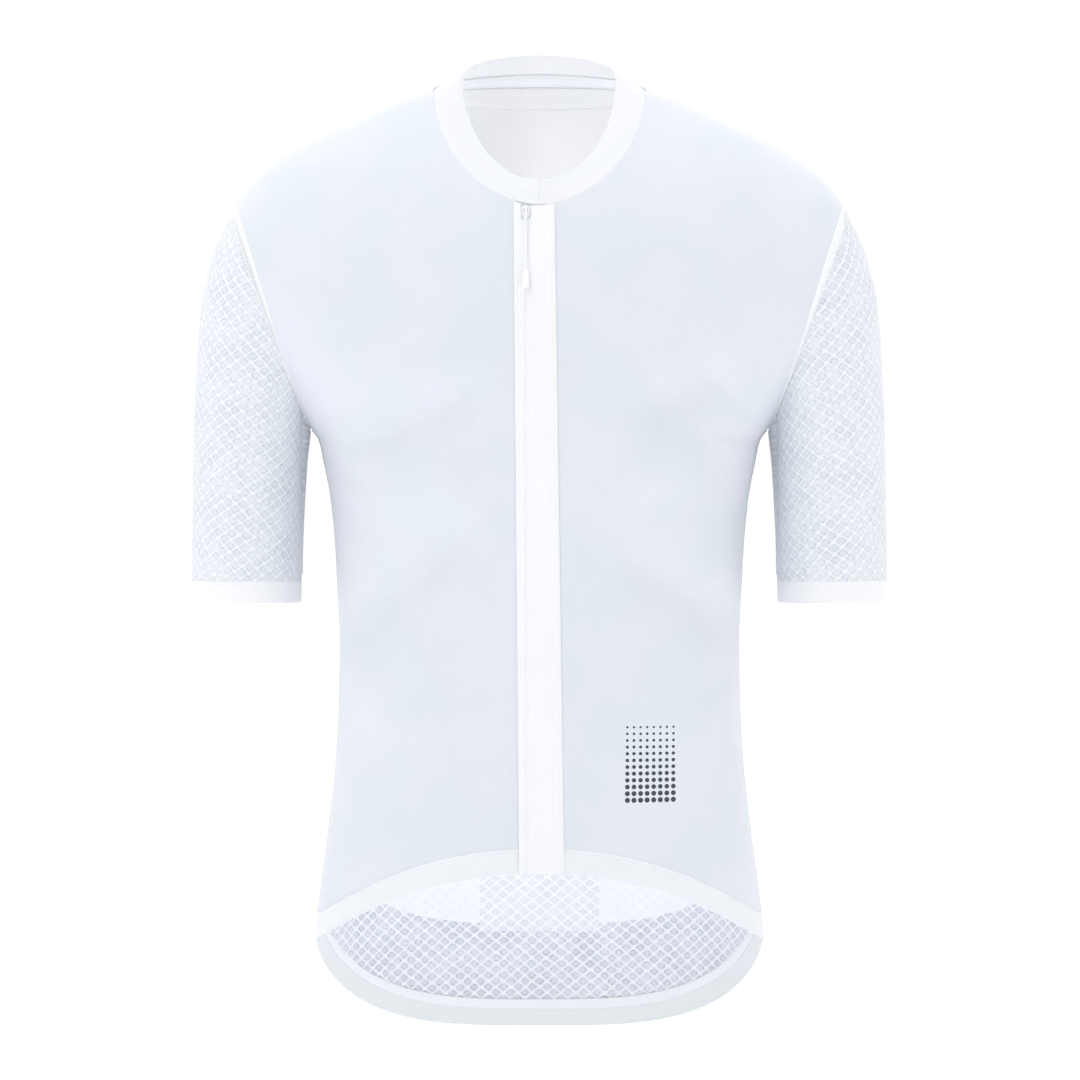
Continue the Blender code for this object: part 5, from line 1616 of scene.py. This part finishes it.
def make_neck(fronts, yoke):
    collar = collar_sheet(fronts, yoke)
    piece_of_cloth("collar", collar, COLLAR, (0.0, -COLLAR_CLOTH), ["front_right", "front_left"])
    garage = garage_sheet()
    piece_of_cloth("zip_garage", garage, COLLAR, (LIFT + TAPE, LIFT), ["collar"])
    tape_out = -(COLLAR_CLOTH + 0.2 * MM)
    tape = neck_tape_sheet(yoke, collar).part(columns=TAPE_COLUMNS)
    tape.points[0] += tape.out[0] * (COLLAR_CLOTH - CLOTH)
    piece_of_cloth("neck_tape", tape, TAPE_LOOK, (tape_out, tape_out - TAPE), ["back_yoke", "collar"])
    facing_out = -(CLOTH + LIFT)
    facing = neck_facing_sheet(yoke).part(columns=FACING_COLUMNS)
    piece_of_cloth("neck_facing", facing, YOKE_KNIT, (facing_out, facing_out - TAPE), ["back_yoke"])
    lines = off_edge(inner_face(tape, tape_out - TAPE), "bottom", (1.2 * MM,))
    lines += off_edge(inner_face(tape, tape_out - TAPE), "top", (1.2 * MM,))
    add_stitches("neck_tape_stitch", "neck_tape", lines)
    lines = off_edge(inner_face(facing, facing_out - TAPE), "bottom", (1.5 * MM, 3.5 * MM))
    add_stitches("facing_stitch", "neck_facing", lines)
    add_stitches("collar_stitch", "collar", off_edge(collar, "bottom", (1.6 * MM,)))
    add_stitches("collar_edge_stitch", "collar", off_edge(collar, "top", (2.0 * MM,)))
    return collar


def make_sleeves():
    for hand, side in ((-1, "right"), (1, "left")):
        sleeve = on_hand(sleeve_sheet(), hand)
        rests = ["front_" + side, "back"]
        piece_of_cloth("sleeve_" + side, sleeve, SLEEVE_NET, WALL, rests, ring=True)
        cuff = on_hand(cuff_sheet(), hand)
        piece_of_cloth("cuff_" + side, cuff, TRIM, BAND_WALL, ["sleeve_" + side], ring=True)
        lines = off_edge(cuff, "bottom", (1.4 * MM, 4.4 * MM))
        add_stitches("cuff_stitch_" + side, "cuff_" + side, lines)


def make_pockets(back):
    outer, inner = (row * FINE for row in POCKET_ROWS)
    for index, name in enumerate(("pocket_right", "pocket_centre", "pocket_left")):
        low = CENTRE_POCKET_ROW * FINE if name == "pocket_centre" else outer
        start, end = (at * FINE for at in POCKET_COLUMNS[2 * index : 2 * index + 2])
        rows = np.linspace(low, inner, math.ceil(inner - low) + 1)
        columns = np.linspace(start, end, math.ceil(end - start) + 1)
        sheet = back.sampled(rows, columns + COLUMNS)
        v, u = np.meshgrid(np.linspace(0, 1, len(rows)), np.linspace(-1, 1, len(columns)), indexing="ij")
        bulge = POCKET_BULGE * (1 - u**4) * np.sin(math.pi * np.clip(v, 0, 1) ** 1.5) ** 0.8
        mouth = POCKET_MOUTH * (1 - u**2) * np.clip(v * 6 - 5, 0, 1) ** 2
        sheet = sheet.raised((bulge + mouth)[..., None])
        look = NET if name == "pocket_centre" else KNIT
        piece_of_cloth(name, sheet, look, (LIFT + POCKET_CLOTH, LIFT), ["back"])
        lift = LIFT + POCKET_CLOTH
        lines = []
        for edge in ("left", "right", "bottom"):
            lines += off_edge(sheet, edge, (1.5 * MM, 4.5 * MM))
        lines += off_edge(sheet, "top", (POCKET_BINDING,))
        add_stitches(name + "_stitch", name, lines, lift=lift)
        edge = off_edge(sheet, "top", np.linspace(0.0, POCKET_BINDING * 0.85, 6))
        strip = Sheet(*(np.stack(values) for values in zip(*edge[::-1])))
        heights = (lift + 0.5 * MM, lift - 0.3 * MM)
        binding = shell(name + "_binding", strip, GRIPPER, heights, rims=(0.3, 0.45))
        ride_and_wait(binding)
        pieces_on.setdefault(name, []).append(binding)


def make_zip():
    strip, flap = placket_sheet(-1, STRIP_EDGE), placket_sheet(1, FLAP_EDGE)
    high = (LIFT + CLOTH, LIFT)
    piece_of_cloth("placket_strip", strip, TRIM, high, ["front_right", "zip_tape"])
    piece_of_cloth("placket_flap", flap, TRIM, high, ["front_left", "zip_tape"])
    tape = along_zip(ZIP_TAPE_HALF).turned()
    depth = (-ZIP_TAPE_DEPTH, -ZIP_TAPE_DEPTH - TAPE)
    piece_of_cloth("zip_tape", tape, TRIM, depth, ["front_right", "front_left"])
    lines = off_edge(flap, "top", (1.6 * MM, 6.5 * MM)) + off_edge(flap, "bottom", (1.6 * MM,))
    add_stitches("flap_stitch", "placket_flap", lines, lift=high[0])
    add_stitches("strip_stitch", "placket_strip", off_edge(strip, "bottom", (1.4 * MM,)), lift=high[0])
    make_slider()
    make_pull()
    make_teeth()


fronts, back, yoke = make_torso()
bands, tail = make_hems()
collar = make_neck(fronts, yoke)
make_sleeves()
make_pockets(back)
make_zip()
torso_seams(fronts, back, yoke, bands, tail)


# ---------------------------------------------------------------- floor, light and camera


def area_light(name, size, power, place, aim):
    light = bpy.data.lights.new(name, "AREA")
    light.shape = "RECTANGLE"
    light.size, light.size_y = size
    light.energy = power
    lamp = new_object(name, light, place)
    lamp.rotation_euler = (Vector(aim) - Vector(place)).to_track_quat("-Z", "Y").to_euler()


def glow_inside(name, power, place):
    """Light that comes through the thin cloth into the hollow garment."""
    light = bpy.data.lights.new(name, "POINT")
    light.energy = power
    light.color = GLOW_COLOUR
    light.shadow_soft_size = 0.05
    new_object(name, light, place).visible_camera = False


def make_floor():
    points = [(x, y, FLOOR) for x, y in ((-40, -40), (40, -40), (40, 40), (-40, 40))]
    floor = add_mesh("floor", points, [[0, 1, 2, 3]])
    look = Nodes("floor", 0.9)
    place = look.node("ShaderNodeTexCoord").outputs["Object"]
    tone = look.noise(place, 3.0)
    colour = look.blend(tone, (0.93, 0.93, 0.93, 1), (0.95, 0.95, 0.95, 1))
    floor.data.materials.append(look.finish(colour))


def make_sky():
    """White light from all sides, weaker from the front than from behind."""
    world = bpy.data.worlds.new("studio")
    bpy.context.scene.world = world
    world.use_nodes = True
    tree = world.node_tree
    way = tree.nodes.new("ShaderNodeSeparateXYZ")
    tree.links.new(tree.nodes.new("ShaderNodeTexCoord").outputs["Generated"], way.inputs[0])
    shade = tree.nodes.new("ShaderNodeMapRange")
    shade.interpolation_type = "SMOOTHSTEP"
    for socket, value in zip(shade.inputs[1:5], (-0.5, 0.4, SKY[0], SKY[1])):
        socket.default_value = value
    tree.links.new(way.outputs[1], shade.inputs[0])
    tree.links.new(shade.outputs[0], tree.nodes["Background"].inputs["Strength"])
    tree.nodes["Background"].inputs["Color"].default_value = (1.0, 1.0, 1.0, 1)


def make_lights():
    sun = bpy.data.lights.new("overhead", "SUN")
    sun.energy = SUN_POWER
    sun.angle = SUN_ANGLE
    new_object("overhead", sun)
    for name, size, power, place, level in AREA_LIGHTS:
        area_light(name, size, power, place, (0, 0, level))
    for glow in GLOWS:
        glow_inside(*glow)


def make_camera():
    camera = new_object("camera", bpy.data.cameras.new("camera"), CAMERA_PLACE)
    camera.rotation_euler = (math.radians(90), 0, 0)
    camera.data.sensor_width = 36.0
    camera.data.lens = LENS
    bpy.context.scene.camera = camera
    bpy.context.scene.view_settings.view_transform = "Standard"


make_floor()
make_sky()
make_lights()
make_camera()
